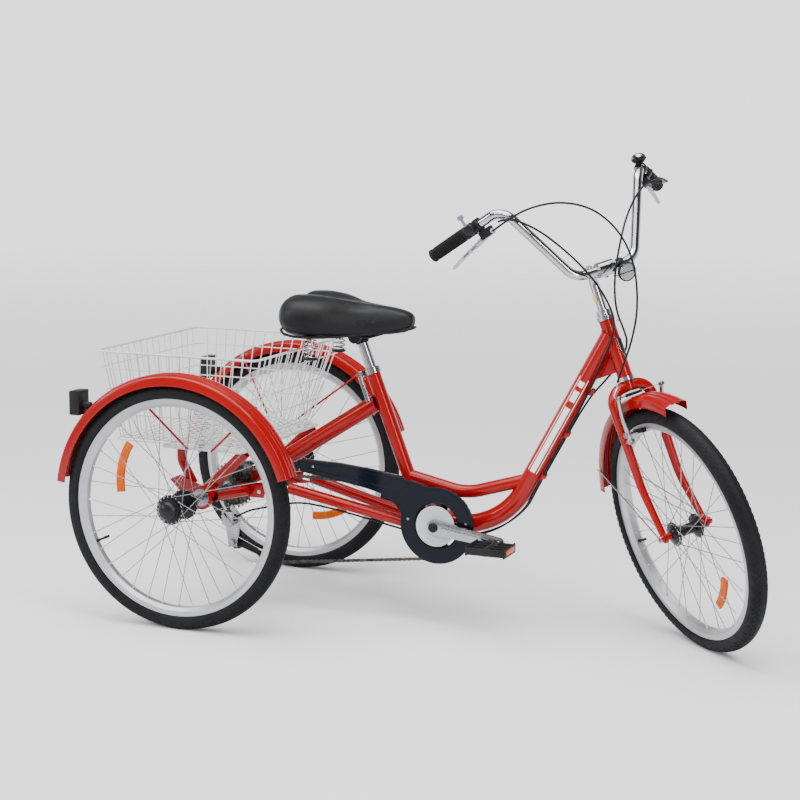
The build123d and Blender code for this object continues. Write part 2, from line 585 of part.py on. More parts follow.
def build_chain():
    """The chain as a band round the chainring, the cog and both derailleur pulleys."""
    wheels = [(BB.X, BB.Z, CHAINRING_R, 1), (0, WHEEL_R, COG_R, 1),
              (GUIDE_PULLEY[0], GUIDE_PULLEY[1], PULLEY_R, -1),
              (TENSION_PULLEY[0], TENSION_PULLEY[1], PULLEY_R, 1)]
    runs = [tangent_run(wheels[i], wheels[(i + 1) % 4]) for i in range(4)]
    band = []
    y_from = CHAIN_Y - CHAIN_W / 2
    y_to = CHAIN_Y + CHAIN_W / 2
    half = CHAIN_H / 2
    for i, (start, end) in enumerate(runs):
        a = Vector(start[0], 0, start[1])
        b = Vector(end[0], 0, end[1])
        across = (b - a).normalized().cross(Vector(0, 1, 0)) * half
        corners = [a + across, b + across, b - across, a - across]
        band.append(side_plate([(p.X, p.Z) for p in corners], y_from, y_to))
        x, z, radius, turn = wheels[i]
        arrive = runs[i - 1][1]
        begin = math.degrees(math.atan2(arrive[1] - z, arrive[0] - x))
        finish = math.degrees(math.atan2(start[1] - z, start[0] - x))
        sweep_angle = (finish - begin) * turn % 360 * turn
        middle = Plane(origin=(x, 0, z), x_dir=(1, 0, 0), z_dir=(0, -1, 0))
        begin_at = math.radians(begin)
        section_plane = Plane(origin=(x + radius * math.cos(begin_at), CHAIN_Y,
                                      z + radius * math.sin(begin_at)),
                              x_dir=(0, 1, 0),
                              z_dir=(-math.sin(begin_at), 0, math.cos(begin_at)))
        section = section_plane * Rectangle(CHAIN_W, CHAIN_H)
        band.append(revolve(section, axis=Axis(middle.origin, (0, -1, 0)),
                            revolution_arc=sweep_angle))
    parts["drive_chain"] = band


def build_rear_drive():
    cogs = []
    for i, radius in enumerate(COG_RADII):
        y_low = CHAIN_Y + (2 - i) * COG_STEP - COG_T / 2
        cogs.append(cross_rod(0, WHEEL_R, y_low, y_low + COG_T, radius - 4.5))
    core_from = CHAIN_Y - 3 * COG_STEP - 4
    core_to = CHAIN_Y + 2 * COG_STEP + 4
    core = cross_rod(0, WHEEL_R, core_from, core_to, 22)
    for cog in cogs:
        core += cog
    parts["freewheel"] = core - cross_rod(0, WHEEL_R, core_from, core_to, AXLE_R + 6 + RUN)
    carrier = ring(AXLE_R + 6, AXLE_R, core_from - 2, core_to + 2, 0, WHEEL_R)
    end_y = TRACK / 2 + 46
    axle = cross_rod(0, WHEEL_R, -end_y, end_y, AXLE_R)
    drum = ring(44, 40, 36, 54, 0, WHEEL_R) + ring(44, AXLE_R, 54, 57, 0, WHEEL_R)
    parts["rear_axle"] = [axle, drum, carrier]
    band = ring(47, 44 + GAP, 38, 52, 0, WHEEL_R)
    anchor = Pos(58, 45, WHEEL_R) * Box(24, 8, 16) - cross_rod(0, WHEEL_R, 30, 60, 44 + GAP)
    pivot = Pos(78, 45, WHEEL_R + 2) * Box(20, 10, 26)
    parts["brake_band"] = [band + anchor + pivot]
    body = rod((-6, -80, 232), (20, -80, 208), 11)
    body += cross_rod(*GUIDE_PULLEY, -80, -60, 8)
    body += Pos(6, -84, 222) * Box(30, 8, 34)
    knuckle = side_plate([(-14, 240), (34, 226), (24, 146), (2, 146)], -72, -66)
    parts["derailleur_body"] = [knuckle, body - knuckle]
    cage = []
    for y in (-60, -42):
        face = ring(9, 3 + RUN, y, y + 2.5, *GUIDE_PULLEY)
        face += ring(9, 3 + RUN, y, y + 2.5, *TENSION_PULLEY)
        dx = TENSION_PULLEY[0] - GUIDE_PULLEY[0]
        dz = TENSION_PULLEY[1] - GUIDE_PULLEY[1]
        span = Vector(dx, 0, dz).normalized()
        across = Vector(-span.Z, 0, span.X) * 7
        first = Vector(GUIDE_PULLEY[0], 0, GUIDE_PULLEY[1]) + span * 4
        last = Vector(TENSION_PULLEY[0], 0, TENSION_PULLEY[1]) - span * 4
        outline = [first + across, last + across, last - across, first - across]
        face += side_plate([(p.X, p.Z) for p in outline], y, y + 2.5)
        face -= cross_rod(*GUIDE_PULLEY, y, y + 2.5, 3)
        face -= cross_rod(*TENSION_PULLEY, y, y + 2.5, 3)
        cage.append(face)
    for centre in (GUIDE_PULLEY, TENSION_PULLEY):
        cage.append(cross_rod(*centre, -60, -39.5, 3))
        cage.append(ring(PULLEY_R - 4.5, 3, CHAIN_Y - 2, CHAIN_Y + 2, *centre))
    parts["derailleur_cage"] = cage


def fender(radius, width, start, finish, at):
    """A curved guard with turned-down edges, about a line across the tricycle."""
    half = width / 2
    outline = [(-half, radius - FENDER_LIP), (-half, radius - 6), (-half + 7, radius),
               (half - 7, radius), (half, radius - 6), (half, radius - FENDER_LIP),
               (half - FENDER_T, radius - FENDER_LIP), (half - FENDER_T, radius - 7),
               (half - 8, radius - FENDER_T), (8 - half, radius - FENDER_T),
               (FENDER_T - half, radius - 7), (FENDER_T - half, radius - FENDER_LIP)]
    plane = Plane(origin=(0, 0, 0), x_dir=(0, 1, 0), z_dir=(0, 0, 1))
    turned = Plane(origin=plane.origin, x_dir=(0, 1, 0),
                   z_dir=(-math.sin(math.radians(start)), 0, math.cos(math.radians(start))))
    section = turned * make_face(Polyline(*[(across, -r) for across, r in outline], close=True))
    if (section.center().X * math.cos(math.radians(start)) < 0):
        section = turned * make_face(Polyline(*[(across, r) for across, r in outline], close=True))
    shell = revolve(section, axis=Axis((0, 0, 0), (0, -1, 0)), revolution_arc=finish - start)
    return Pos(*at) * shell


def build_fenders():
    fenders = []
    lamps = []
    stays = []
    for side in (-1, 1):
        y = side * TRACK / 2
        fenders.append(fender(FENDER_R, FENDER_W, FENDER_FROM, FENDER_TO, (0, y, WHEEL_R)))
        lamp = Pos(LAMP_X, y, LAMP_Z) * Box(*LAMP_SIZE)
        shell = cross_rod(0, WHEEL_R, y - 60, y + 60, FENDER_R + 0.2)
        foot = Pos(LAMP_X + 20, y, LAMP_Z - 6) * Box(40, 24, 16)
        lamps.append((lamp + foot) - shell)
        inner = y - side * (FENDER_W / 2)
        reach = side * (RACK_HALF_Y + 3.2)
        for angle in (52.0, 118.0):
            a = math.radians(angle)
            stays.append(rod(((FENDER_R - 9) * math.cos(a), inner, WHEEL_R + (FENDER_R - 9) * math.sin(a)),
                             (60 * math.cos(a), reach, RACK_Z + 3), 3.0))
    parts["rear_fenders"] = fenders + stays
    parts["rear_lamps"] = lamps


def build_rack():
    back, front = RACK_X
    length = front - back
    middle = (back + front) / 2
    frame = Pos(middle, 0, RACK_Z + RACK_T / 2) * Box(length, 2 * RACK_HALF_Y, RACK_T)
    slots = 8
    pitch = length / slots
    for i in range(slots):
        x = back + (i + 0.5) * pitch
        for j in range(5):
            y = (j - 2) * (2 * RACK_HALF_Y / 5)
            frame -= Pos(x, y, RACK_Z + RACK_T / 2) * Box(pitch - 9, 2 * RACK_HALF_Y / 5 - 12, RACK_T + 2)
    parts["rack_tray"] = frame


def wire_loop(back, front, half, z, radius):
    """A level wire round the basket: four straight lengths and four bends."""
    turn = BASKET_CORNER_R
    runs = []
    for side in (-1, 1):
        runs.append(rod((back + turn, side * half, z), (front - turn, side * half, z), radius))
    for x, way in ((back, 1), (front, -1)):
        runs.append(rod((x, turn - half, z), (x, half - turn, z), radius))
        for side in (-1, 1):
            middle = Vector(x + way * turn, side * (half - turn), z)
            section = Plane(origin=middle - Vector(way * turn, 0, 0), x_dir=(1, 0, 0), z_dir=(0, 1, 0))
            runs.append(revolve(section * Circle(radius), axis=Axis(middle, (0, 0, -way * side)),
                                revolution_arc=90))
    return runs


def build_basket():
    low, high = BASKET_Z
    top_back, top_front, top_half = BASKET_TOP
    bottom_back, bottom_front, bottom_half = BASKET_BOTTOM
    wires = []

    def level(z):
        share = (z - low) / (high - low)
        return (bottom_back + (top_back - bottom_back) * share,
                bottom_front + (top_front - bottom_front) * share,
                bottom_half + (top_half - bottom_half) * share)

    for z, radius in ((high, BASKET_RIM_R), (high - 42, BASKET_WIRE_R),
                      (high - 100, BASKET_WIRE_R), (high - 158, BASKET_WIRE_R), (low, BASKET_WIRE_R)):
        back, front, half = level(z)
        back -= 2 * BASKET_WIRE_R
        front += 2 * BASKET_WIRE_R
        half += 2 * BASKET_WIRE_R
        wires.extend(wire_loop(back, front, half, z, radius))
    along, across = BASKET_BARS
    for i in range(along):
        share = (i + 0.5) / along
        for side in (-1, 1):
            x_low = bottom_back + 14 + (bottom_front - bottom_back - 28) * share
            x_high = top_back + 14 + (top_front - top_back - 28) * share
            wires.append(rod((x_low, side * bottom_half, low - 1), (x_high, side * top_half, high - 3),
                             BASKET_WIRE_R))
        wires.append(rod((x_low, -bottom_half, low + 3), (x_low, bottom_half, low + 3), BASKET_WIRE_R))
    for i in range(across):
        share = (i + 0.5) / across
        y_low = -bottom_half + 14 + (2 * bottom_half - 28) * share
        y_high = -top_half + 14 + (2 * top_half - 28) * share
        for x_low, x_high in ((bottom_back, top_back), (bottom_front, top_front)):
            wires.append(rod((x_low, y_low, low - 1), (x_high, y_high, high - 3), BASKET_WIRE_R))
    parts["basket"] = wires


# ---- steered assembly, drawn straight ahead and then turned ---------------------------------
def build_fork():
    steerer_top = (HEAD_TOP - STEER_FOOT).length + 22
    crown_up = steerer_top - 22 - HEAD_LENGTH - 9.5
    steerer = rod(on_head(crown_up - 20), on_head(steerer_top), STEERER_R, QUILL_R + RUN)
    crown_race = rod(on_head(crown_up - 20), on_head(crown_up), 17.0, QUILL_R + RUN)
    fork = steerer + crown_race
    axle_at = on_head(0, FORK_RAKE)
    for side in (-1, 1):
        points = [on_head(crown_up - 13, 0, side * 4), on_head(crown_up - 17, 0, side * BLADE_Y),
                  on_head(120, 0, side * BLADE_Y), on_head(4, FORK_RAKE - 3, side * DROPOUT_Y)]
        path = FilletPolyline(*points, radius=[38, 170])
        sections = [Plane(origin=path @ 0, z_dir=path % 0) * Circle(BLADE_TOP_R),
                    Plane(origin=path @ 1, z_dir=path % 1) * Circle(BLADE_END_R)]
        blade = sweep(sections, path=path, multisection=True)
        y = side * DROPOUT_Y
        blade += cross_rod(axle_at.X, axle_at.Z, y - 3, y + 3, 13)
        blade -= cross_rod(axle_at.X, axle_at.Z, y - 10, y + 10, AXLE_FRONT_R)
        boss_foot = on_head(V_PIVOT_UP, 0, side * BLADE_Y)
        blade += rod(boss_foot, on_head(V_PIVOT_UP, V_PIVOT_AHEAD, side * BLADE_Y), 8)
        blade += rod(boss_foot, on_head(V_PIVOT_UP, V_PIVOT_AHEAD + 10, side * BLADE_Y), 4)
        fork += blade
    fork -= rod(on_head(crown_up - 21), on_head(steerer_top + 1), QUILL_R + RUN)
    nuts = [cross_rod(axle_at.X, axle_at.Z, -DROPOUT_Y - 15, DROPOUT_Y + 15, AXLE_FRONT_R)]
    for side in (-1, 1):
        low = min(side * (DROPOUT_Y + 3), side * (DROPOUT_Y + 12))
        nuts.append(ring(8.5, AXLE_FRONT_R, low, low + 9, axle_at.X, axle_at.Z))
        low = min(side * 41, side * (DROPOUT_Y - 3))
        nuts.append(ring(8, AXLE_FRONT_R, low, low + DROPOUT_Y - 44, axle_at.X, axle_at.Z))
    parts["fork"] = [steered(piece) for piece in [fork] + nuts]
    lock_from = steerer_top - 12
    lock = rod(on_head(lock_from), on_head(steerer_top + 1), 17.5, STEERER_R + RUN)
    quill = bent_tube([on_head(440), on_head(BAR_UP), on_head(BAR_UP, BAR_AHEAD)], [26], QUILL_R)
    clamp = rod(on_head(BAR_UP, BAR_AHEAD, -21), on_head(BAR_UP, BAR_AHEAD, 21), 18)
    stem = quill + clamp
    stem -= rod(on_head(BAR_UP, BAR_AHEAD, -22), on_head(BAR_UP, BAR_AHEAD, 22), BAR_R)
    stem += rod(on_head(BAR_UP - 2, 0), on_head(BAR_UP + 17, 0), 9)
    parts["stem"] = [steered(stem), steered(lock)]


def bar_points():
    centre = on_head(BAR_UP, BAR_AHEAD)
    low = centre + Vector(0, BAR_LOW_Y, 0)
    top = centre + Vector(-BAR_SWEEP, BAR_TOP_Y, BAR_RISE)
    end = centre + Vector(-BAR_REACH, BAR_END_Y, BAR_END_RISE)
    return [end, top, low]


def build_bar():
    left = bar_points()
    right = [Vector(p.X, -p.Y, p.Z) for p in reversed(left)]
    bar_solid = bent_tube(left + right, BAR_BENDS, BAR_R)
    bar = bent_tube(left + right, BAR_BENDS, BAR_R, BAR_R - 2)
    parts["handlebar"] = steered(bar)
    grips = []
    clamps = []
    for side in (-1, 1):
        end = Vector(left[0].X, side * left[0].Y, left[0].Z)
        top = Vector(left[1].X, side * left[1].Y, left[1].Z)
        along = (top - end).normalized()
        down = lever_down(along)
        across = along.cross(down)
        grip = rod(end - along * 3, end + along * GRIP_LENGTH, GRIP_R)
        grip -= rod(end, end + along * (GRIP_LENGTH + 1), BAR_R)
        grips.append(steered(grip))
        seat = end + along * LEVER_AT
        mount = rod(seat - along * 7, seat + along * 7, BAR_R + 5)
        block = Plane(origin=seat + down * 26 + along * 8, x_dir=along, z_dir=across) * Box(34, 20, 16)
        pivot = seat + down * LEVER_DROP
        slot = rod(pivot - across * 4.5, pivot + across * 4.5, 9.5)
        pin = rod(pivot - across * 8, pivot + across * 8, 2.5)
        mount = (mount + block) - bar_solid - slot
        mount -= Plane(origin=pivot - along * 20, x_dir=along, z_dir=across) * Box(40, 26, 9)
        cable = FRONT_BRAKE_ROUTE if side < 0 else REAR_BRAKE_ROUTE
        barrel_from = steered_point(seat + down * 26 + along * 20)
        barrel_run = Vector(cable[0]) - barrel_from
        barrel = rod(barrel_from, barrel_from + barrel_run * (1 - 6.0 / barrel_run.length), 4.5)
        clamps.append(steered(max((mount + pin).solids(), key=lambda s: s.volume)) + barrel)
        lever_plane = Plane(origin=pivot - across * (LEVER_T / 2), x_dir=along, z_dir=across)
        lever_face = make_face(Polyline(*LEVER_OUTLINE, close=True)) + Circle(7) - Circle(2.5 + RUN)
        lever = extrude(lever_plane * lever_face, LEVER_T)
        parts["brake_lever_" + ("right" if side < 0 else "left")] = steered(lever)
        if side < 0:
            shift_seat = end + along * SHIFTER_AT
            body = rod(shift_seat - along * 6, shift_seat + along * 6, BAR_R + 5)
            neck_at = Plane(origin=shift_seat - across * 15.5, x_dir=along, z_dir=across)
            body += neck_at * Box(11, 14, 7)
            dial_at = shift_seat + along * 6
            body += rod(dial_at - across * 26, dial_at - across * 17, 14)
            body -= bar_solid
            clamps.append(steered(body))
            spin_at = dial_at - across * (26 + GAP)
            thumb = rod(spin_at - across * 5, spin_at, 14)
            thumb += rod(spin_at - across * 2.5, spin_at - across * 2.5 - down * 34, 2.5)
            thumb += rod(spin_at - across * 7 - down * 34, spin_at + across * 8 - down * 34, 6)
            parts["shift_lever"] = steered(thumb)
        else:
            bell_seat = end + along * BELL_AT
            foot = rod(bell_seat - along * 6, bell_seat + along * 6, BAR_R + 4)
            foot -= bar_solid
            base_at = bell_seat - down * 15
            post = rod(base_at, base_at - down * 6, 12) - bar_solid
            dome = rod(base_at - down * 8, base_at - down * 22, BELL_R)
            dome -= rod(base_at - down * 8, base_at - down * 20, BELL_R - 2)
            stud = rod(base_at - down * 6, base_at - down * 20, 3)
            parts["bell"] = [steered(foot + post), steered(dome + stud)]
            arm_at = base_at + along * (BELL_R + 6) - down * 4
            arm = rod(arm_at, arm_at + along * 16, 2.5) + Pos(*(arm_at + along * 18)) * Sphere(4)
            arm += rod(arm_at - down * 3, arm_at + down * 3, 5)
            parts["bell_lever"] = steered(arm)
    parts["grips"] = grips
    parts["control_clamps"] = clamps
    lens_at = on_head(BAR_UP, BAR_AHEAD, 40) + Vector(22, 0, -14)
    lens = rod(lens_at, lens_at + Vector(10, 0, 0), 23)
    foot = rod(lens_at - Vector(22, 0, -14), lens_at, 5) + rod(
        lens_at - Vector(22, 6, -14), lens_at - Vector(22, -6, -14), BAR_R + 3)
    foot -= bar_solid
    parts["front_reflector"] = [steered(lens), steered(foot - lens)]


def lever_down(along):
    """The direction from the grip towards its brake lever, at right angles to the bar."""
    down = Vector(0.25, 0, -1)
    return (down - along * down.dot(along)).normalized()


def build_front_brake():
    for name, side in (("right", -1), ("left", 1)):
        y = side * BLADE_Y
        low = V_PIVOT_AHEAD + GAP
        eye = rod(on_head(V_PIVOT_UP, low, y), on_head(V_PIVOT_UP, low + 9, y), 9)
        arm_mid = on_head(V_PIVOT_UP + 60, low + 8, y + side * 3)
        arm_top = on_head(V_PIVOT_UP + 104, low + 26, y + side * 6)
        arm = eye + rod(on_head(V_PIVOT_UP, low + 4.5, y), arm_mid, 5) + rod(arm_mid, arm_top, 4.5)
        arm += Pos(*arm_mid) * Sphere(5.7) + Pos(*arm_top) * Sphere(6.3)
        arm -= rod(on_head(V_PIVOT_UP, 0, y), on_head(V_PIVOT_UP, low + 12, y), 4 + RUN)
        pad_up = PAD_UP
        pad_in = RIM_W / 2 + PAD_GAP
        middle = on_head(pad_up, low + 4.5, side * (pad_in + 5))
        pad = Plane(origin=middle, x_dir=HEAD_FORWARD, z_dir=(0, 1, 0)) * Box(52, 11, 10)
        stud = rod(on_head(pad_up, low + 4.5, side * (pad_in + 10)),
                   on_head(pad_up, low + 4.5, y + side * 6), 3.5)
        parts["v_brake_arm_" + name] = steered(arm + stud + pad)


def build_front_fender():
    guard = fender(FRONT_FENDER_R, FRONT_FENDER_W, FRONT_FENDER_FROM, FRONT_FENDER_TO,
                   (FRONT_AXLE.X, 0, FRONT_AXLE.Z))
    pieces = [guard]
    for side in (-1, 1):
        angle = math.radians(168)
        hook = FRONT_AXLE + Vector(math.cos(angle), 0, math.sin(angle)) * (FRONT_FENDER_R - 10)
        stay = rod(hook + Vector(0, side * (FRONT_FENDER_W / 2), 0),
                   FRONT_AXLE + Vector(-7, side * (DROPOUT_Y + 14.2), 4), 2.0)
        low = min(side * (DROPOUT_Y + 12), side * (DROPOUT_Y + 14.5))
        eyelet = ring(8.5, AXLE_FRONT_R, low, low + 2.5, FRONT_AXLE.X, FRONT_AXLE.Z)
        pieces.append(stay + eyelet)
    parts["front_fender"] = [steered(piece) for piece in pieces]


# ---- cables, held by the tricycle all along ---------------------------------------------------
def routed(points, radius):
    """A cable of straight runs joined by the largest arcs that the runs leave room for."""
    vectors = [Vector(*p) for p in points]
    bends = []
    for before, here, after in zip(vectors, vectors[1:], vectors[2:]):
        turn = math.radians((here - before).get_angle(after - here))
        shorter = min((here - before).length, (after - here).length)
        bends.append(0.45 * shorter / math.tan(turn / 2))
    print("cable bends", [round(r) for r in bends])
    return bent_tube(vectors, bends, radius)


def build_cables():
    parts["front_brake_cable"] = routed(FRONT_BRAKE_ROUTE, CABLE_R)
    parts["frame_cables"] = [routed(REAR_BRAKE_ROUTE, CABLE_R), routed(SHIFT_ROUTE, CABLE_R)]


def save(name, shape):
    """Write one node, whether it is one solid or a group of separate solids."""
    if isinstance(shape, (list, tuple)):
        solids = []
        for piece in shape:
            solids.extend(piece.solids())
        shape = Compound(children=solids)
    export_step(shape, os.path.join("parts", name + ".step"))


build_frame()
build_rear_frame()
build_wheels()
build_seat()
build_crank()
build_guard()
build_chain()
build_rear_drive()
build_fenders()
build_rack()
build_basket()
build_fork()
build_bar()
build_front_brake()
build_front_fender()
build_cables()
os.makedirs("parts", exist_ok=True)
for name, shape in parts.items():
    save(name, shape)
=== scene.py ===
import json
from math import asin, atan2, copysign, cos, exp, hypot, pi, radians, sin, sqrt, tan

import bpy
from mathutils import Matrix, Vector


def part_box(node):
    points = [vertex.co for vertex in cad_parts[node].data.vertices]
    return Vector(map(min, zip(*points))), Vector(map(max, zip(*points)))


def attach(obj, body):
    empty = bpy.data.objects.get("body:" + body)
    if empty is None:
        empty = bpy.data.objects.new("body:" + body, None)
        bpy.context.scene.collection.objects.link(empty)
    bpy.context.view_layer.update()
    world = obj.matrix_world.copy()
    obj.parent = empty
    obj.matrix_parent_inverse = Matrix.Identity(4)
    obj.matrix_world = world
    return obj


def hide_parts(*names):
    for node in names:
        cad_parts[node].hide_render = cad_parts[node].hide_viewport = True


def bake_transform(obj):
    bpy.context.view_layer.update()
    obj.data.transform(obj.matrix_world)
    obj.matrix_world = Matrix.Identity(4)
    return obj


# Adult tricycle, in metres, in the CAD frame: the origin is on the floor under the rear axle,
# +X is the way it rides, +Y is the rider's left and +Z is up.

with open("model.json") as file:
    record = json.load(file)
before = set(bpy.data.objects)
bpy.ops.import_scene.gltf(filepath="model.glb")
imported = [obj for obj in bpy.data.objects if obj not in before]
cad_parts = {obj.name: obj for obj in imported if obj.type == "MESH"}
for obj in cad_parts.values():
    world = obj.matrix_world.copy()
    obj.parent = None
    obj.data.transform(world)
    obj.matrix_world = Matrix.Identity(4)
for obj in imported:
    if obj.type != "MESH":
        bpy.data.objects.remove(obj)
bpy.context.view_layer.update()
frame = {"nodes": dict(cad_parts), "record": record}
scene = bpy.context.scene
move = Matrix.Translation

# ---- driving dimensions, the same as in the part's source ----
WHEEL_R = 0.300
TYRE_HALF = 0.0225
RIM_R = 0.2655
RIM_DEPTH = 0.020
WELL_R = 0.2592                # the floor of the rim's well, where the tyre's beads sit
WELL_HALF = 0.0108
RIM_EDGE = (0.0136, 0.2664)    # half width and radius where the tyre leaves the rim
TREAD_R = 0.0222               # radii of the tyre's round section
WALL_R = 0.0212
LINING_R = 0.0178
STUD_R = 0.0214
SPOKES = 36
SPOKE_CROSS = 60.0
TRACK = 0.670
REAR_FLANGE_R = 0.036
REAR_FLANGE_Y = 0.034
FRONT_FLANGE_R = 0.029
FRONT_FLANGE_Y = 0.031
HEAD_ANGLE = radians(69.2)
HEAD_TOP = Vector((0.958, 0, 0.768))
HEAD_R = 0.018
FORK_RAKE = 0.040
STEER_AT_REST = radians(-45)
BB = Vector((0.565, 0, 0.252))
CHAIN_Y = -0.048
CHAINRING_R = 0.085
COG_R = 0.0406
COG_RADII = (0.057, 0.049, 0.0406, 0.035, 0.031, 0.0285)
COG_STEP = 0.0055
GUIDE_PULLEY = (0.012, 0.158)
TENSION_PULLEY = (0.104, 0.128)
PULLEY_R = 0.019
PULLEY_TEETH = 11
RING_TEETH = 42
CHAIN_PITCH = 0.0127
LINK_T = 0.0008
GUARD_R = 0.095
GUARD_FACE_Y = -0.06675
GUARD_LIP_Y = -0.0585
CRANK_LENGTH = 0.170
CRANK_AT_REST = radians(-8)
CRANK_IN_Y = 0.080
CRANK_T = 0.012
PEDAL_Y = 0.150
BAR_R = 0.0111
BAR_UP = 0.634
BAR_AHEAD = 0.076
GRIP_LENGTH = 0.110
LEVER_AT = 0.140
LEVER_DROP = 0.030
SHIFTER_AT = 0.125
BELL_AT = 0.186
CABLE_R = 0.0025
FENDER_R = 0.325
FENDER_W = 0.062
FENDER_T = 0.0013
RIB_PITCH = 0.0145
FENDER_ENDS = (radians(18), radians(172))
FENDER_STAYS = (radians(52), radians(118))
FRONT_FENDER_R = 0.333
FRONT_FENDER_W = 0.058
FRONT_FENDER_ENDS = (radians(84), radians(178))
SEAT_ANGLE = radians(68.8)
SEAT_TUBE_R = 0.0175
DOWN_R = 0.0225
DOWN_TOP = Vector((0.971, 0, 0.734))
DOWN_CORNER = Vector((0.712, 0, 0.248))
STAY_TOP = Vector((0.376, 0, 0.531))
STAY_FOOT = Vector((0.004, 0, 0.292))
RACK_X = (-0.107, 0.120)
RACK_HALF_Y = 0.225
RACK_Z = 0.418
RACK_T = 0.008
RACK_RAIL_Y = 0.075
MESH_ROWS = 15
MESH_WAVES = 18
BASKET_TOP = (-0.262, 0.172, 0.262)
BASKET_BOTTOM = (-0.236, 0.104, 0.220)
BASKET_Z = (0.430, 0.655)
BASKET_WIRE_R = 0.0015
BASKET_RIM_R = 0.003
BASKET_BARS = (14, 16)
BASKET_HOOPS = (0.042, 0.100, 0.158)     # depth of each level wire below the rim

# Wheel reflectors, saddle, handlebar, front brake and labels
REFLECTOR_AT = 0.175
REFLECTORS = (
    # wheel, degrees round it, degrees that the reflector leans from its circle, reach
    ("front", 316.0, -18.0, 0.092),
    ("right", 150.0, -18.0, 0.126),
    ("left", 304.0, 18.0, 0.100),
)
SADDLE_NOSE = 0.478
SADDLE_BACK = 0.146
SADDLE_Z = 0.704
COIL_TURNS = 4.5
COIL_STEPS = 110
SADDLE_STATIONS = [
    # share from nose to back, half width, crown height, skirt's lower edge, middle groove's depth
    (0.000, 0.008, 0.038, 0.022, 0.000), (0.012, 0.018, 0.047, 0.013, 0.000),
    (0.060, 0.027, 0.055, 0.006, 0.000), (0.150, 0.033, 0.061, 0.001, 0.000),
    (0.280, 0.042, 0.066, -0.003, 0.001), (0.400, 0.058, 0.072, -0.007, 0.004),
    (0.500, 0.082, 0.079, -0.010, 0.008), (0.610, 0.109, 0.086, -0.012, 0.014),
    (0.730, 0.126, 0.091, -0.013, 0.018), (0.840, 0.129, 0.092, -0.012, 0.020),
    (0.930, 0.119, 0.088, -0.008, 0.020), (0.980, 0.098, 0.076, 0.001, 0.017),
    (1.000, 0.070, 0.056, 0.016, 0.010),
]
BAR_TOP = Vector((-0.102, 0.186, 0.179))
BAR_END = Vector((-0.238, 0.312, 0.078))
LEVER_OUTLINE = [(0.007, -0.006), (0.008, 0.000), (0.006, 0.007), (-0.020, 0.0125),
                 (-0.056, 0.0150), (-0.090, 0.0205), (-0.110, 0.0255), (-0.1155, 0.0225),
                 (-0.1135, 0.0175), (-0.090, 0.0125), (-0.056, 0.0055), (-0.020, -0.0005)]
V_PIVOT_UP = 0.236
V_PIVOT_AHEAD = 0.0204
BLADE_Y = 0.053
PAD_UP = 0.252
PAD_IN = 0.018
LABEL_GAP = 0.00002            # a label's lift off its tube
SHIELD_T = 0.0010

# Camera, floor and lights
CAMERA_TARGET = Vector((0.439, 0.0, 0.542))
CAMERA_YAW = radians(22.31)
CAMERA_PITCH = radians(9.22)
CAMERA_ROLL = radians(0.45)
CAMERA_DISTANCE = 4.754
CAMERA_LENS = 87.1
BACKDROP = 2.1                 # strength of the pale sweep
SWEEP_TOWARDS = (-0.38, 0.925, 0)
OVERHEAD = 4.4                 # strength of the wide light from above
FLOOR_REACH = 60.0
FLOOR_FADE = (3.0, 11.0)       # where the floor starts and ends its fade into the sweep
SOFT_BOXES = (
    # name, place, aim, size, power
    ("top", (0.2, -0.6, 3.0), (0.4, 0, 0.4), (3.0, 0.9), 60),
    ("left", (-2.8, -2.6, 2.2), (0.2, 0, 0.5), (0.7, 2.4), 75),
    ("right", (3.4, -2.0, 1.9), (0.6, 0, 0.5), (0.5, 2.6), 60),
    ("strip", (0.4, -3.6, 2.6), (0.4, 0, 0.3), (3.0, 0.25), 40),
)
SUN_SPREAD = radians(75)
SUN_TURN = (radians(16), radians(-8), 0)

# Points along the middle of each cable, the same as in the part's source
FRONT_BRAKE_ROUTE = [
    (0.742, -0.192, 0.980), (0.789, -0.188, 1.016), (0.834, -0.170, 1.038),
    (0.886, -0.143, 1.048), (0.941, -0.118, 1.038), (0.985, -0.103, 1.010),
    (1.020, -0.091, 0.968), (1.042, -0.080, 0.915), (1.050, -0.070, 0.855),
    (1.049, -0.061, 0.790), (1.036, -0.057, 0.725), (1.018, -0.060, 0.668),
    (1.008, -0.066, 0.632),
]
REAR_BRAKE_ROUTE = [
    (1.052, 0.165, 1.085), (1.046, 0.122, 1.098), (1.028, 0.078, 1.090),
    (1.011, 0.036, 1.057), (1.004, -0.015, 1.010), (1.004, -0.058, 0.958),
    (1.000, -0.080, 0.895), (0.997, -0.072, 0.840), (0.997, -0.048, 0.792),
    (1.004, -0.010, 0.750), (1.006, 0.024, 0.712), (0.986, 0.034, 0.664),
    (0.950, 0.030, 0.618), (0.914, 0.013, 0.574), (0.849, 0.010, 0.452),
    (0.789, 0.010, 0.340), (0.771, 0.010, 0.300), (0.711, 0.011, 0.248),
    (0.636, 0.012, 0.219), (0.566, 0.014, 0.214), (0.490, 0.018, 0.216),
    (0.410, 0.026, 0.234), (0.330, 0.030, 0.252), (0.250, 0.032, 0.262),
    (0.180, 0.038, 0.271), (0.128, 0.045, 0.291), (0.090, 0.045, 0.300),
]
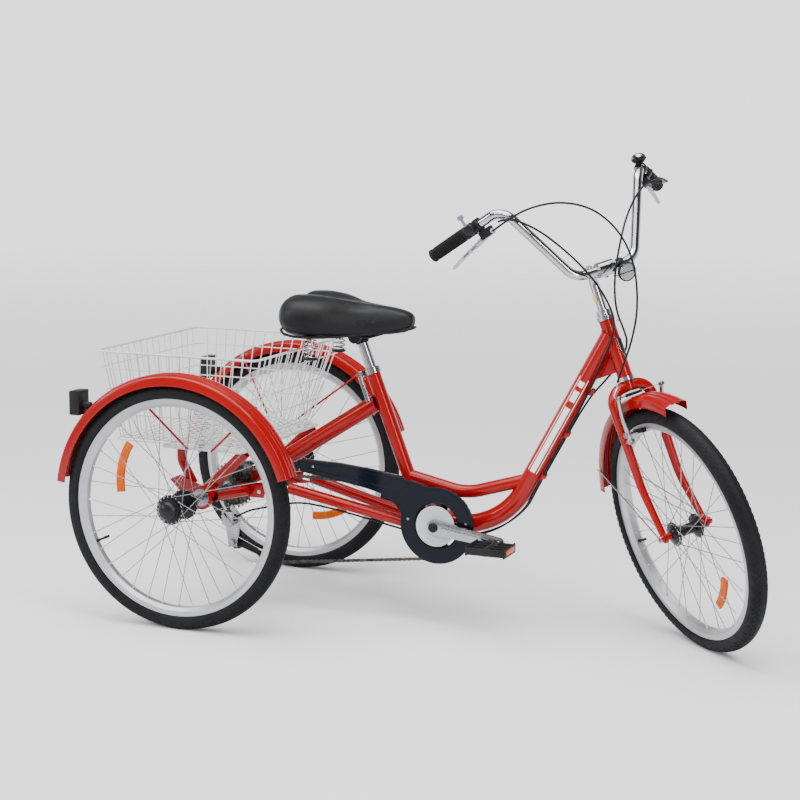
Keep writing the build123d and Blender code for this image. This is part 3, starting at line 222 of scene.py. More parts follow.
SHIFT_ROUTE = [
    (0.746, -0.168, 1.000), (0.772, -0.177, 1.008), (0.806, -0.176, 1.001),
    (0.846, -0.160, 0.980), (0.884, -0.145, 0.950), (0.920, -0.130, 0.917),
    (0.953, -0.112, 0.878), (0.973, -0.090, 0.842), (0.987, -0.068, 0.806),
    (0.993, -0.048, 0.770), (0.983, -0.033, 0.725), (0.960, -0.030, 0.672),
    (0.936, -0.027, 0.618), (0.913, -0.013, 0.572), (0.849, -0.010, 0.452),
    (0.789, -0.010, 0.340), (0.771, -0.010, 0.300), (0.711, -0.011, 0.248),
    (0.636, -0.013, 0.219), (0.566, -0.018, 0.213), (0.500, -0.027, 0.217),
    (0.430, -0.037, 0.234), (0.352, -0.047, 0.252), (0.270, -0.057, 0.269),
    (0.196, -0.070, 0.279), (0.120, -0.084, 0.262), (0.056, -0.090, 0.246),
    (0.026, -0.088, 0.224),
]

# ---- frames of reference ----
HEAD_UP = Vector((-cos(HEAD_ANGLE), 0, sin(HEAD_ANGLE)))
HEAD_FORWARD = Vector((sin(HEAD_ANGLE), 0, cos(HEAD_ANGLE)))
wheel_tilt = cos(HEAD_ANGLE) * sin(STEER_AT_REST)
front_axle_z = TYRE_HALF + (WHEEL_R - TYRE_HALF) * sqrt(1 - wheel_tilt ** 2)
foot_z = front_axle_z - FORK_RAKE * cos(HEAD_ANGLE) * cos(STEER_AT_REST)
STEER_FOOT = HEAD_TOP + HEAD_UP * ((foot_z - HEAD_TOP.z) / HEAD_UP.z)
FRONT_AXLE = STEER_FOOT + HEAD_FORWARD * FORK_RAKE
STEERED = (move(HEAD_TOP) @ Matrix.Rotation(STEER_AT_REST, 4, HEAD_UP)
           @ move(-HEAD_TOP))
WHEELS = {
    "right": move((0, -TRACK / 2, WHEEL_R)),
    "left": move((0, TRACK / 2, WHEEL_R)),
    "front": STEERED @ move(FRONT_AXLE),
}
WHEEL_BODY = {"right": "drive_wheel", "left": "left_wheel", "front": "front_wheel"}
SIDES = (("right", -1), ("left", 1))


def on_head(up, forward=0.0, side=0.0):
    """A point up the steering axis from its foot, ahead of it and to its left, straight ahead."""
    return STEER_FOOT + HEAD_UP * up + HEAD_FORWARD * forward + Vector((0, side, 0))


def polar(radius, angle, y=0.0):
    """A point in the side view about a line across the tricycle."""
    return Vector((radius * cos(angle), y, radius * sin(angle)))


def frame_at(origin, x_axis, z_axis):
    """A placing matrix from an origin and two directions."""
    z = Vector(z_axis).normalized()
    x = Vector(x_axis)
    x = (x - z * x.dot(z)).normalized()
    turn = Matrix((x, z.cross(x), z)).transposed().to_4x4()
    return move(origin) @ turn


def facing(side):
    """No turn on the left, and a half turn about Z on the right."""
    return Matrix.Identity(4) if side > 0 else Matrix.Rotation(pi, 4, "Z")


def pointing(origin, direction):
    """A placing matrix whose Y axis points along a direction."""
    turn = Vector((0, 1, 0)).rotation_difference(Vector(direction)).to_matrix().to_4x4()
    return move(origin) @ turn


# ---- mesh pieces ----
def new_object(name, data):
    """A new object in the scene."""
    obj = bpy.data.objects.new(name, data)
    scene.collection.objects.link(obj)
    return obj


def evaluated_mesh(obj):
    """A mesh of an object as it looks after its modifiers or its curve settings."""
    bpy.context.view_layer.update()
    graph = bpy.context.evaluated_depsgraph_get()
    return bpy.data.meshes.new_from_object(obj.evaluated_get(graph))


def apply_modifiers(obj):
    """Keep the result of an object's modifiers as its own mesh."""
    mesh = evaluated_mesh(obj)
    old = obj.data
    obj.modifiers.clear()
    name = old.name
    obj.data = mesh
    bpy.data.meshes.remove(old)
    mesh.name = name


class Build:
    """Collects closed meshes, each with a number for its material, into one object."""

    def __init__(self):
        self.verts = []
        self.faces = []
        self.numbers = []

    def add(self, shape, place=None, number=0):
        """Add one closed mesh, placed and with its material's number."""
        verts, faces = shape
        base = len(self.verts)
        place = place or Matrix.Identity(4)
        flip = place.determinant() < 0
        self.verts.extend(place @ Vector(v) for v in verts)
        for face in faces:
            loop = [base + i for i in face]
            self.faces.append(loop[::-1] if flip else loop)
            self.numbers.append(number)

    def done(self, name, materials, body=None, replaces=(), bevel=0.0, angle=35.0):
        """Make the object, soften its edges and hang it on its body."""
        mesh = bpy.data.meshes.new(name)
        mesh.from_pydata(self.verts, [], self.faces)
        for material in materials:
            mesh.materials.append(material)
        mesh.polygons.foreach_set("material_index", self.numbers)
        mesh.polygons.foreach_set("use_smooth", [True] * len(self.faces))
        mesh.update()
        obj = new_object(name, mesh)
        if bevel:
            soften(obj, bevel)
        obj.data.set_sharp_from_angle(angle=radians(angle))
        return settle(obj, body, replaces)


def soften(obj, width, segments=2):
    """Round the piece's sharp edges."""
    bevel = obj.modifiers.new("edges", "BEVEL")
    bevel.width = width
    bevel.segments = segments
    bevel.limit_method = "ANGLE"
    bevel.angle_limit = radians(40)
    bevel.harden_normals = False
    apply_modifiers(obj)


def settle(obj, body, replaces=()):
    """Hang a finished piece on its CAD body."""
    if body:
        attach(obj, body)
    if replaces:
        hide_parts(*replaces)
    return obj


def lathe(profile, segments=64, start=0.0, finish=2 * pi):
    """Turn a closed outline of (across, radius) points about Y, all round or along an arc."""
    whole = finish - start > 2 * pi - 1e-6
    rings = segments if whole else segments + 1
    count = len(profile)
    verts = []
    for i in range(rings):
        angle = start + (finish - start) * i / segments
        verts.extend((r * cos(angle), y, r * sin(angle)) for y, r in profile)
    faces = []
    for i in range(segments):
        here = i * count
        there = (i + 1) % rings * count
        for j in range(count):
            k = (j + 1) % count
            faces.append((here + j, there + j, there + k, here + k))
    if not whole:
        faces.append(tuple(range(count)))
        faces.append(tuple(range((rings - 1) * count, rings * count))[::-1])
    return verts, outward(profile, faces)


def ring(y_from, y_to, inner, outer):
    """The section of a plain ring, for the lathe."""
    return [(y_from, inner), (y_from, outer), (y_to, outer), (y_to, inner)]


def outward(profile, faces):
    """Flip the faces where the outline runs the other way round."""
    area = 0.0
    for (y1, r1), (y2, r2) in zip(profile, profile[1:] + profile[:1]):
        area += y1 * r2 - y2 * r1
    return [f[::-1] for f in faces] if area < 0 else faces


def turned(profile, segments=32):
    """Turn an open outline of (along, radius) points about Y into a solid closed at both ends."""
    count = len(profile)
    verts = []
    for i in range(segments):
        angle = 2 * pi * i / segments
        verts.extend((r * cos(angle), y, r * sin(angle)) for y, r in profile)
    faces = []
    for i in range(segments):
        here = i * count
        there = (i + 1) % segments * count
        for j in range(count - 1):
            faces.append((here + j, here + j + 1, there + j + 1, there + j))
    first = tuple(i * count for i in range(segments))
    last = tuple(i * count + count - 1 for i in range(segments))
    faces.append(first)
    faces.append(last[::-1])
    if profile[-1][0] < profile[0][0]:
        faces = [f[::-1] for f in faces]
    return verts, faces


def block(x, y, z):
    """A box about its own middle."""
    verts = [(i * x / 2, j * y / 2, k * z / 2) for i in (-1, 1) for j in (-1, 1) for k in (-1, 1)]
    faces = [(0, 1, 3, 2), (4, 6, 7, 5), (0, 4, 5, 1), (2, 3, 7, 6), (0, 2, 6, 4), (1, 5, 7, 3)]
    return verts, faces


def plate(outline, y_from, y_to):
    """A flat plate with its outline of (x, z) points, thick along Y."""
    count = len(outline)
    area = sum(a[0] * b[1] - b[0] * a[1] for a, b in zip(outline, outline[1:] + outline[:1]))
    if area < 0:
        outline = outline[::-1]
    verts = [(x, y_from, z) for x, z in outline] + [(x, y_to, z) for x, z in outline]
    faces = [tuple(range(count)), tuple(range(count, 2 * count))[::-1]]
    for i in range(count):
        j = (i + 1) % count
        faces.append((i, i + count, j + count, j))
    return verts, faces


def tube(points, radius, sides=12, closed=False):
    """A round bar along points; radius is one number, or one for each point."""
    points = [Vector(p) for p in points]
    count = len(points)
    radii = radius if isinstance(radius, list) else [radius] * count
    headings = []
    for i in range(count):
        before = points[i - 1] if closed or i else points[0]
        after = points[(i + 1) % count] if closed or i < count - 1 else points[-1]
        headings.append((after - before).normalized())
    up = headings[0].orthogonal().normalized()
    verts = []
    for i in range(count):
        up = (up - headings[i] * up.dot(headings[i])).normalized()
        side = headings[i].cross(up)
        for k in range(sides):
            angle = 2 * pi * k / sides
            verts.append(points[i] + (up * cos(angle) + side * sin(angle)) * radii[i])
    faces = []
    for i in range(count if closed else count - 1):
        here = i * sides
        there = (i + 1) % count * sides
        for k in range(sides):
            n = (k + 1) % sides
            faces.append((here + k, here + n, there + n, there + k))
    if not closed:
        faces.append(tuple(range(sides))[::-1])
        faces.append(tuple(range((count - 1) * sides, count * sides)))
    return verts, faces


def rounded(points, radius, steps=6, closed=False):
    """The points of a line with its corners turned into arcs."""
    points = [Vector(p) for p in points]
    count = len(points)
    out = [] if closed else [points[0]]
    for i in range(count) if closed else range(1, count - 1):
        a, b, c = points[i - 1], points[i], points[(i + 1) % count]
        back = (a - b).normalized()
        ahead = (c - b).normalized()
        half = back.angle(ahead) / 2
        reach = min(radius / tan(half), 0.49 * (a - b).length, 0.49 * (c - b).length)
        start, end = b + back * reach, b + ahead * reach
        for k in range(steps + 1):
            t = k / steps
            out.append(start.lerp(b, t).lerp(b.lerp(end, t), t))
    return out if closed else out + [points[-1]]


def hull_outline(r1, r2, length, steps=12):
    """The outline round a disc at the origin and another along X, with straight sides between."""
    lean = asin((r1 - r2) / length)
    out = []
    for i in range(steps + 1):
        angle = pi / 2 - lean + (pi + 2 * lean) * i / steps
        out.append((r1 * cos(angle), r1 * sin(angle)))
    for i in range(steps + 1):
        angle = lean - pi / 2 + (pi - 2 * lean) * i / steps
        out.append((length + r2 * cos(angle), r2 * sin(angle)))
    return out


def gear_outline(teeth, root, tip):
    """The toothed outline of a sprocket."""
    out = []
    for i in range(teeth):
        for share, r in ((-0.34, root), (-0.16, tip), (0.16, tip), (0.34, root)):
            angle = 2 * pi * (i + share) / teeth
            out.append((r * cos(angle), r * sin(angle)))
    return out


def flat_solid(name, outlines, thickness, bevel, place):
    """A bevelled flat solid in the XZ plane with holes, middle at Y 0; later outlines are holes."""
    curve = bpy.data.curves.new(name, "CURVE")
    curve.dimensions = "2D"
    curve.fill_mode = "BOTH"
    curve.extrude = thickness / 2 - bevel
    curve.bevel_depth = bevel
    curve.bevel_resolution = 2
    curve.offset = -bevel
    for outline in outlines:
        spline = curve.splines.new("POLY")
        spline.points.add(len(outline) - 1)
        for point, (x, z) in zip(spline.points, outline):
            point.co = (x, z, 0, 1)
        spline.use_cyclic_u = True
    holder = new_object(name + "_line", curve)
    mesh = evaluated_mesh(holder)
    bpy.data.objects.remove(holder)
    upright = Matrix.Rotation(pi / 2, 4, "X")
    verts = [place @ upright @ v.co for v in mesh.vertices]
    faces = [tuple(p.vertices) for p in mesh.polygons]
    bpy.data.meshes.remove(mesh)
    return verts, faces


def circle(radius, x=0.0, z=0.0, steps=64):
    """A round outline about a middle."""
    return [(x + radius * cos(2 * pi * i / steps),
             z + radius * sin(2 * pi * i / steps)) for i in range(steps)]


# ---- materials ----
def noise(tree, where, scale, detail=4.0, stretch=(1, 1, 1)):
    """Soft noise over the surface, between 0 and 1."""
    mapping = tree.nodes.new("ShaderNodeMapping")
    mapping.inputs["Scale"].default_value = stretch
    texture = tree.nodes.new("ShaderNodeTexNoise")
    texture.inputs["Scale"].default_value = scale
    texture.inputs["Detail"].default_value = detail
    tree.links.new(where, mapping.inputs["Vector"])
    tree.links.new(mapping.outputs["Vector"], texture.inputs["Vector"])
    return texture.outputs["Fac"]


def cells(tree, where, scale, feature="F1"):
    """The distance within a pattern of cells."""
    texture = tree.nodes.new("ShaderNodeTexVoronoi")
    texture.feature = feature
    texture.inputs["Scale"].default_value = scale
    tree.links.new(where, texture.inputs["Vector"])
    return texture.outputs["Distance"]


def spread(tree, value, low, high, start=0.3, end=0.7):
    """A value moved from one range to another."""
    ranged = tree.nodes.new("ShaderNodeMapRange")
    ranged.inputs["From Min"].default_value = start
    ranged.inputs["From Max"].default_value = end
    ranged.inputs["To Min"].default_value = low
    ranged.inputs["To Max"].default_value = high
    tree.links.new(value, ranged.inputs["Value"])
    return ranged.outputs["Result"]


def surface(name, colour, other, roughness, metallic=0.0, coat=0.0, patch=8.0, grain=300.0,
            bump=0.1, depth=0.0002, stretch=(1, 1, 1), relief="noise", specular=0.5):
    """A material whose colour and roughness drift over the surface and whose grain is in relief."""
    material = bpy.data.materials.new(name)
    material.use_nodes = True
    tree = material.node_tree
    shader = tree.nodes["Principled BSDF"]
    where = tree.nodes.new("ShaderNodeTexCoord").outputs["Object"]
    drift = noise(tree, where, patch, 5.0)
    mix = tree.nodes.new("ShaderNodeMix")
    mix.data_type = "RGBA"
    mix.inputs["A"].default_value = (*colour, 1)
    mix.inputs["B"].default_value = (*other, 1)
    tree.links.new(spread(tree, drift, 0.0, 1.0), mix.inputs["Factor"])
    tree.links.new(mix.outputs["Result"], shader.inputs["Base Color"])
    smear = noise(tree, where, patch * 4, 6.0, stretch)
    tree.links.new(spread(tree, smear, *roughness), shader.inputs["Roughness"])
    shader.inputs["Metallic"].default_value = metallic
    shader.inputs["Coat Weight"].default_value = coat
    shader.inputs["Coat Roughness"].default_value = 0.05
    shader.inputs["Specular IOR Level"].default_value = specular
    if relief == "cells":
        height = cells(tree, where, grain)
    elif relief == "creases":
        height = cells(tree, where, grain, "DISTANCE_TO_EDGE")
    else:
        height = noise(tree, where, grain, 3.0, stretch)
    raise_node = tree.nodes.new("ShaderNodeBump")
    raise_node.inputs["Strength"].default_value = bump
    raise_node.inputs["Distance"].default_value = depth
    tree.links.new(height, raise_node.inputs["Height"])
    tree.links.new(raise_node.outputs["Normal"], shader.inputs["Normal"])
    return material


def look(*values, **extra):
    """What a material in the table below says of its surface."""
    return values, extra


LOOKS = {
    # name: main colour, other colour, low and high roughness, and what else it needs
    "red_paint": look(
        (0.29, 0.0001, 0.0004), (0.24, 0.0001, 0.0003), (0.16, 0.26), coat=0.20, patch=5,
        grain=700, bump=0.05, specular=0.22),
    "chrome": look(
        (0.50, 0.50, 0.515), (0.42, 0.425, 0.44), (0.05, 0.13), metallic=1.0, patch=14,
        grain=500, bump=0.03),
    "polished_alloy": look(
        (0.42, 0.42, 0.43), (0.34, 0.343, 0.355), (0.18, 0.32), metallic=1.0, patch=20,
        grain=900, bump=0.08, stretch=(1, 6, 1)),
    "rim_alloy": look(
        (0.50, 0.50, 0.515), (0.42, 0.425, 0.44), (0.34, 0.46), metallic=0.9, patch=12,
        grain=1200, bump=0.10),
    "spoke_steel": look(
        (0.30, 0.30, 0.31), (0.22, 0.222, 0.23), (0.18, 0.34), metallic=1.0, patch=30,
        grain=1500, bump=0.05),
    "tyre_rubber": look(
        (0.006, 0.006, 0.0065), (0.011, 0.011, 0.012), (0.50, 0.70), patch=9, grain=900,
        bump=0.35, specular=0.12),
    "black_metal": look(
        (0.005, 0.005, 0.0055), (0.010, 0.010, 0.011), (0.22, 0.36), specular=0.22, patch=16,
        grain=900, bump=0.10),
    "black_plastic": look(
        (0.007, 0.007, 0.0075), (0.013, 0.013, 0.014), (0.36, 0.54), specular=0.16, patch=20,
        grain=1400, bump=0.30, relief="cells"),
    "guard_gloss": look(
        (0.0030, 0.0042, 0.0085), (0.0045, 0.0060, 0.0115), (0.07, 0.14), specular=0.14,
        patch=5, grain=500, bump=0.03),
    "saddle_vinyl": look(
        (0.006, 0.006, 0.0065), (0.011, 0.011, 0.012), (0.34, 0.46), specular=0.16, patch=12,
        grain=620, bump=0.45, depth=0.0004, relief="creases"),
    "grip_rubber": look(
        (0.006, 0.006, 0.006), (0.012, 0.012, 0.012), (0.50, 0.68), specular=0.12, patch=20,
        grain=1300, bump=0.30),
    "cable_housing": look(
        (0.004, 0.004, 0.0045), (0.008, 0.008, 0.009), (0.24, 0.38), specular=0.15, patch=15,
        grain=900, bump=0.10),
    "chain_steel": look(
        (0.13, 0.12, 0.11), (0.035, 0.032, 0.030), (0.30, 0.52), metallic=0.9, patch=60,
        grain=900, bump=0.20),
    "white_wire": look(
        (0.66, 0.66, 0.67), (0.56, 0.56, 0.57), (0.24, 0.38), coat=0.15, patch=14, grain=900,
        bump=0.15),
    "clear_lens": look(
        (0.34, 0.345, 0.36), (0.26, 0.265, 0.28), (0.08, 0.16), metallic=0.55, coat=1.0,
        patch=40, grain=330, bump=0.7, depth=0.0008, relief="cells"),
}
MATERIALS = {name: surface(name, *values, **extra) for name, (values, extra) in LOOKS.items()}
LENS_GRAIN = dict(patch=60, grain=420, bump=0.6, depth=0.0006, relief="cells")
ORANGE_LENS = surface("orange_lens", (0.62, 0.105, 0.0), (0.52, 0.075, 0.0), (0.20, 0.30),
                      specular=0.12, coat=0.0, **LENS_GRAIN)
RED_LENS = surface("red_lens", (0.38, 0.001, 0.002), (0.26, 0.001, 0.001), (0.12, 0.22),
                   specular=0.35, coat=0.2, **LENS_GRAIN)
GREY_DISC = surface("grey_disc", (0.50, 0.52, 0.56), (0.42, 0.44, 0.48), (0.30, 0.42),
                    coat=0.3, patch=12, grain=900, bump=0.12)
BRASS = surface("brass", (0.75, 0.72, 0.62), (0.62, 0.58, 0.48), (0.22, 0.36), metallic=1.0,
                patch=60, grain=900, bump=0.05)
WHITE_DECAL = surface("white_decal", (0.86, 0.86, 0.85), (0.78, 0.78, 0.77), (0.22, 0.30),
                      coat=0.8, patch=30, grain=600, bump=0.04)
YELLOW_DECAL = surface("yellow_decal", (0.80, 0.66, 0.05), (0.70, 0.56, 0.03), (0.30, 0.42),
                       coat=0.3, patch=40, grain=600, bump=0.05)
LEVER_TIP = surface("lever_tip", (0.16, 0.20, 0.27), (0.12, 0.15, 0.21), (0.36, 0.48),
                    patch=60, grain=1300, bump=0.25)
RED = MATERIALS["red_paint"]
CHROME = MATERIALS["chrome"]
ALLOY = MATERIALS["polished_alloy"]
STEEL = MATERIALS["spoke_steel"]
BLACK = MATERIALS["black_metal"]
PLASTIC = MATERIALS["black_plastic"]


def dress_cad():
    """Give each CAD node the material of its slot and smooth its round faces."""
    for entry in frame["record"]["subparts"]:
        obj = frame["nodes"][entry["node"]]
        obj.data.materials.clear()
        obj.data.materials.append(MATERIALS[entry["material_slot"]])
        count = len(obj.data.polygons)
        obj.data.polygons.foreach_set("material_index", [0] * count)
        obj.data.polygons.foreach_set("use_smooth", [True] * count)
        obj.data.set_sharp_from_angle(angle=radians(30))


# ---- wheels ----
def tyre_profile():
    """A tyre's section: round outside with a raised middle, beads that go down into the rim."""
    middle = WHEEL_R - TYRE_HALF
    outside = []
    for i in range(41):
        angle = radians(-118 + 5.9 * i)
        radius = TREAD_R if abs(angle) < radians(14) else WALL_R
        outside.append((radius * sin(angle), middle + radius * cos(angle)))
    inside = []
    for i in range(17):
        angle = radians(112 - 14 * i)
        inside.append((LINING_R * sin(angle), middle + LINING_R * cos(angle)))
    lip = [RIM_EDGE, (RIM_EDGE[0], WELL_R), (WELL_HALF, WELL_R), (WELL_HALF, RIM_R)]
    return ([(-y, r) for y, r in lip[::-1]][2:] + outside + lip + inside
            + [(-WELL_HALF, RIM_R), (-WELL_HALF, WELL_R)])


def tread_rows():
    """(angle round the section, half width, blocks round the wheel, half length, phase)."""
    rows = []
    for side in (-1, 1):
        rows.append((side * 24, 0.0022, 120, 0.0048, 0.0))
        rows.append((side * 39, 0.0022, 120, 0.0050, 0.5))
        rows.append((side * 54, 0.0026, 120, 0.0052, 0.0))
        rows.append((side * 70, 0.0030, 60, 0.0036, 0.5))
    return rows


def build_tyre(name):
    """A tyre with smooth walls and small blocks on its shoulders."""
    build = Build()
    build.add(lathe(tyre_profile(), 180), WHEELS[name])
    middle = WHEEL_R - TYRE_HALF
    for degrees, half_y, count, half_x, phase in tread_rows():
        angle = radians(degrees)
        place_out = move((0, STUD_R * sin(angle), 0))
        lean = Matrix.Rotation(-angle, 4, "X")
        for i in range(count):
            spin = Matrix.Rotation(2 * pi * (i + phase) / count, 4, "Y")
            out = move((0, 0, middle + STUD_R * cos(angle)))
            stud = tread_block(half_x, half_y)
            build.add(stud, WHEELS[name] @ spin @ place_out @ out @ lean)
    build.done("tyre_" + name + "_tread", [MATERIALS["tyre_rubber"]], WHEEL_BODY[name],
               ["tyre_" + name], angle=40)


def tread_block(half_x, half_y):
    """One tread block with sloping sides."""
    verts = []
    for z, grow in ((-0.0012, 1.12), (0.0008, 0.88)):
        verts.extend([(-half_x * grow, -half_y * grow, z), (half_x * grow, -half_y * grow, z),
                      (half_x * grow, half_y * grow, z), (-half_x * grow, half_y * grow, z)])
    faces = [(3, 2, 1, 0), (4, 5, 6, 7), (0, 1, 5, 4), (1, 2, 6, 5), (2, 3, 7, 6), (3, 0, 4, 7)]
    return verts, faces


def spoke_ends(flange_r, flange_y):
    """The hub end and rim end of each spoke, as in the CAD."""
    ends = []
    step = 720.0 / SPOKES
    for side in (-1, 1):
        for i in range(SPOKES // 2):
            lead = 1 if i % 2 else -1
            start = radians(i * step + (step / 2 if side > 0 else 0))
            finish = start + lead * radians(SPOKE_CROSS)
            y_hub = side * flange_y + lead * 0.0023
            at_hub = polar(flange_r - 0.004, start, y_hub)
            at_rim = polar(RIM_R - RIM_DEPTH + 0.001, finish, side * 0.003)
            ends.append((at_hub, at_rim, side))
    return ends


def build_wheel_trim(name, flange_r, flange_y):
    """Nipples, spoke heads and the valve of one wheel."""
    place = WHEELS[name]
    build = Build()
    nipple = [(0, 0.0020), (0.001, 0.0024), (0.004, 0.0022), (0.0045, 0.0017), (0.013, 0.0016),
              (0.0135, 0.0012)]
    head = [(0, 0.0026), (0.0006, 0.0025), (0.0013, 0.0018), (0.0016, 0.0008)]
    for at_hub, at_rim, side in spoke_ends(flange_r, flange_y):
        build.add(turned(nipple, 10), place @ pointing(at_rim, at_hub - at_rim), 0)
        seat = Vector((at_hub.x, side * (flange_y + 0.0016), at_hub.z))
        build.add(turned(head, 10), place @ pointing(seat, (0, side, 0)), 1)
    valve_at = polar(RIM_R - RIM_DEPTH, radians(205))
    valve = [(0, 0.0042), (0.002, 0.0042), (0.0025, 0.0030), (0.022, 0.0029), (0.0225, 0.0036),
             (0.034, 0.0034), (0.036, 0.0026)]
    build.add(turned(valve, 16), place @ pointing(valve_at, -valve_at), 2)
    build.done("spoke_trim_" + name, [BRASS, STEEL, PLASTIC], WHEEL_BODY[name])


def build_wheel_reflectors(name, degrees, lean, reach):
    """A curved orange reflector clipped across the spokes of one wheel."""
    middle = polar(REFLECTOR_AT, radians(degrees))
    turn = Matrix.Rotation(radians(lean), 4, "Y")
    place = WHEELS[name] @ move(middle) @ turn @ move(-middle)
    start = radians(degrees) - reach / REFLECTOR_AT / 2
    end = radians(degrees) + reach / REFLECTOR_AT / 2
    lens = [(-0.0030, REFLECTOR_AT - 0.0105), (-0.0045, REFLECTOR_AT - 0.0085),
            (-0.0045, REFLECTOR_AT + 0.0085), (-0.0030, REFLECTOR_AT + 0.0105)]
    lens += [(-y, radius) for y, radius in lens[::-1]]
    rib = ring(-0.0052, 0.0052, REFLECTOR_AT - 0.0012, REFLECTOR_AT + 0.0012)
    build = Build()
    build.add(lathe(lens, 28, start, end), place)
    build.add(lathe(rib, 28, start + 0.03, end - 0.03), place)
    clip = [(-0.0066, 0.0048), (-0.0052, 0.0062), (0.0052, 0.0062), (0.0066, 0.0048)]
    for angle in (start + 0.07, end - 0.07):
        build.add(turned(clip, 16), place @ move(polar(REFLECTOR_AT, angle)), 0)
    build.done("wheel_reflectors_" + name, [ORANGE_LENS], WHEEL_BODY[name],
               bevel=0.0006)


def build_hub_caps():
    """Dust caps outside the rear hubs, each with a ring of raised lands."""
    for name, side in SIDES:
        place = WHEELS[name] @ facing(side)
        build = Build()
        collar = [(0.0400, 0.0170), (0.0400, 0.0262), (0.0412, 0.0270), (0.0440, 0.0270),
                  (0.0452, 0.0262), (0.0452, 0.0170)]
        build.add(lathe(collar, 64), place)
        for i in range(24):
            angle = 2 * pi * i / 24
            land = frame_at(polar(0.0262, angle, 0.0427), (0, 1, 0), polar(1, angle))
            build.add(block(0.0035, 0.0028, 0.0022), place @ land)
        build.done("hub_cap_" + name, [BLACK], WHEEL_BODY[name], bevel=0.0004)


# ---- fenders ----
def fender_profile(radius, width, ribs=3):
    """A fender's section with turned-down edges and raised ribs along its length."""
    half = width / 2
    outer = [(-half, radius - 0.0275), (-half, radius - 0.008), (-half + 0.0016, radius - 0.0052),
             (-half + 0.0045, radius - 0.0032)]
    rib_at = [(i - (ribs - 1) / 2) * RIB_PITCH for i in range(ribs)]
    for y in rib_at:
        outer.extend([(y - 0.0048, radius - 0.0022), (y - 0.0028, radius - 0.0006),
                      (y, radius - 0.0001), (y + 0.0028, radius - 0.0006),
                      (y + 0.0048, radius - 0.0022)])
    outer.extend([(-y, r) for y, r in outer[:4]][::-1])
    inner = [(y * (1 - FENDER_T / half), r - (FENDER_T if abs(y) < half - 0.003 else 0.0))
             for y, r in outer]
    return outer + inner[::-1]


def add_fender(build, place, radius, width, ends, segments):
    """A fender's shell, with a rolled bead across each end."""
    profile = fender_profile(radius, width)
    build.add(lathe(profile, segments, *ends), place)
    for angle in ends:
        bead = [polar(r - 0.0008, angle, y) for y, r in profile[:23]]
        build.add(tube(bead, 0.0011, 8), place)


def build_rear_fenders():
    """Both rear fenders with their stays, bolts and rivets."""
    build = Build()
    for side in (-1, 1):
        place = move((0, side * TRACK / 2, WHEEL_R))
        add_fender(build, place, FENDER_R, FENDER_W, FENDER_ENDS, 120)
        inner = side * (TRACK / 2 - FENDER_W / 2)
        for angle in FENDER_STAYS:
            hang = polar(FENDER_R - 0.009, angle, 0) + Vector((0, inner, WHEEL_R))
            foot = Vector((0.060 * cos(angle), side * 0.2282, RACK_Z + 0.003))
            build.add(tube([hang + Vector((0, side * 0.001, 0)), foot], 0.0029, 12))
            bolt = [(0, 0.0058), (0.0028, 0.0058), (0.0036, 0.0048), (0.0044, 0.0030)]
            build.add(turned(bolt, 6), pointing(hang, (0, -side, 0)), 1)
            clip_at = polar(FENDER_R - 0.0004, angle, side * TRACK / 2) + Vector((0, 0, WHEEL_R))
            dome = [(-0.0012, 0.0042), (0.0, 0.0040), (0.0003, 0.0022)]
            build.add(turned(dome, 16), pointing(clip_at, polar(1, angle)), 1)
    build.done("fender_pair", [RED, STEEL], "frame", ["rear_fenders"], angle=50)


def build_front_fender():
    """The front fender with its wire stays and bridge."""
    build = Build()
    place = STEERED @ move(FRONT_AXLE)
    add_fender(build, place, FRONT_FENDER_R, FRONT_FENDER_W, FRONT_FENDER_ENDS, 90)
    hook = polar(FRONT_FENDER_R - 0.010, radians(168))
    for side in (-1, 1):
        top = hook + Vector((0, side * FRONT_FENDER_W / 2, 0))
        foot = Vector((-0.007, side * 0.0712, 0.004))
        build.add(tube(rounded([top + Vector((0.002, -side * 0.004, -0.002)), top, foot], 0.01),
                       0.0019, 10), place, 1)
        build.add(lathe(ring(side * 0.0690, side * 0.0715, 0.0051, 0.0084), 32), place, 1)
        bolt = [(0, 0.0050), (0.0024, 0.0050), (0.0032, 0.0040)]
        build.add(turned(bolt, 6), place @ pointing(top, (0, side, 0)), 1)
    bridge_at = polar(FRONT_FENDER_R - 0.0005, radians(112))
    strap = ring(-0.009, 0.009, 0.3160, 0.3312)
    build.add(lathe(strap, 6, radians(109), radians(115)), place, 1)
    button = [(-0.0010, 0.0046), (0.0002, 0.0044), (0.0005, 0.0026)]
    build.add(turned(button, 20), place @ pointing(bridge_at, bridge_at), 1)
    build.done("fender_front", [RED, CHROME], "steering", ["front_fender"], angle=50)


def build_rear_lamps():
    """Black rear lamps with a red lens in a raised frame."""
    build = Build()
    low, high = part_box("rear_lamps")
    size = Vector((0.026, 0.0475, 0.0595))
    for side in (-1, 1):
        middle = Vector((low.x + 0.0155, side * TRACK / 2, (low.z + high.z) / 2))
        build.add(block(*size), move(middle), 0)
        lens_at = middle - Vector((0.0130, 0, 0))
        build.add(block(0.0040, size.y - 0.010, size.z - 0.012), move(lens_at), 1)
        for way in (-1, 1):
            bar = move(lens_at + Vector((0, way * (size.y / 2 - 0.003), 0)))
            build.add(block(0.0044, 0.0050, size.z - 0.002), bar, 0)
            bar = move(lens_at + Vector((0, 0, way * (size.z / 2 - 0.003))))
            build.add(block(0.0044, size.y - 0.002, 0.0050), bar, 0)
        arm = [middle + Vector((0.008, 0, -0.006)), middle + Vector((0.020, 0, -0.007)),
               middle + Vector((0.034, 0, -0.006))]
        build.add(tube(arm, [0.012, 0.010, 0.008], 20))
    build.done("tail_lamps", [PLASTIC, RED_LENS], "frame", ["rear_lamps"],
               bevel=0.0016)


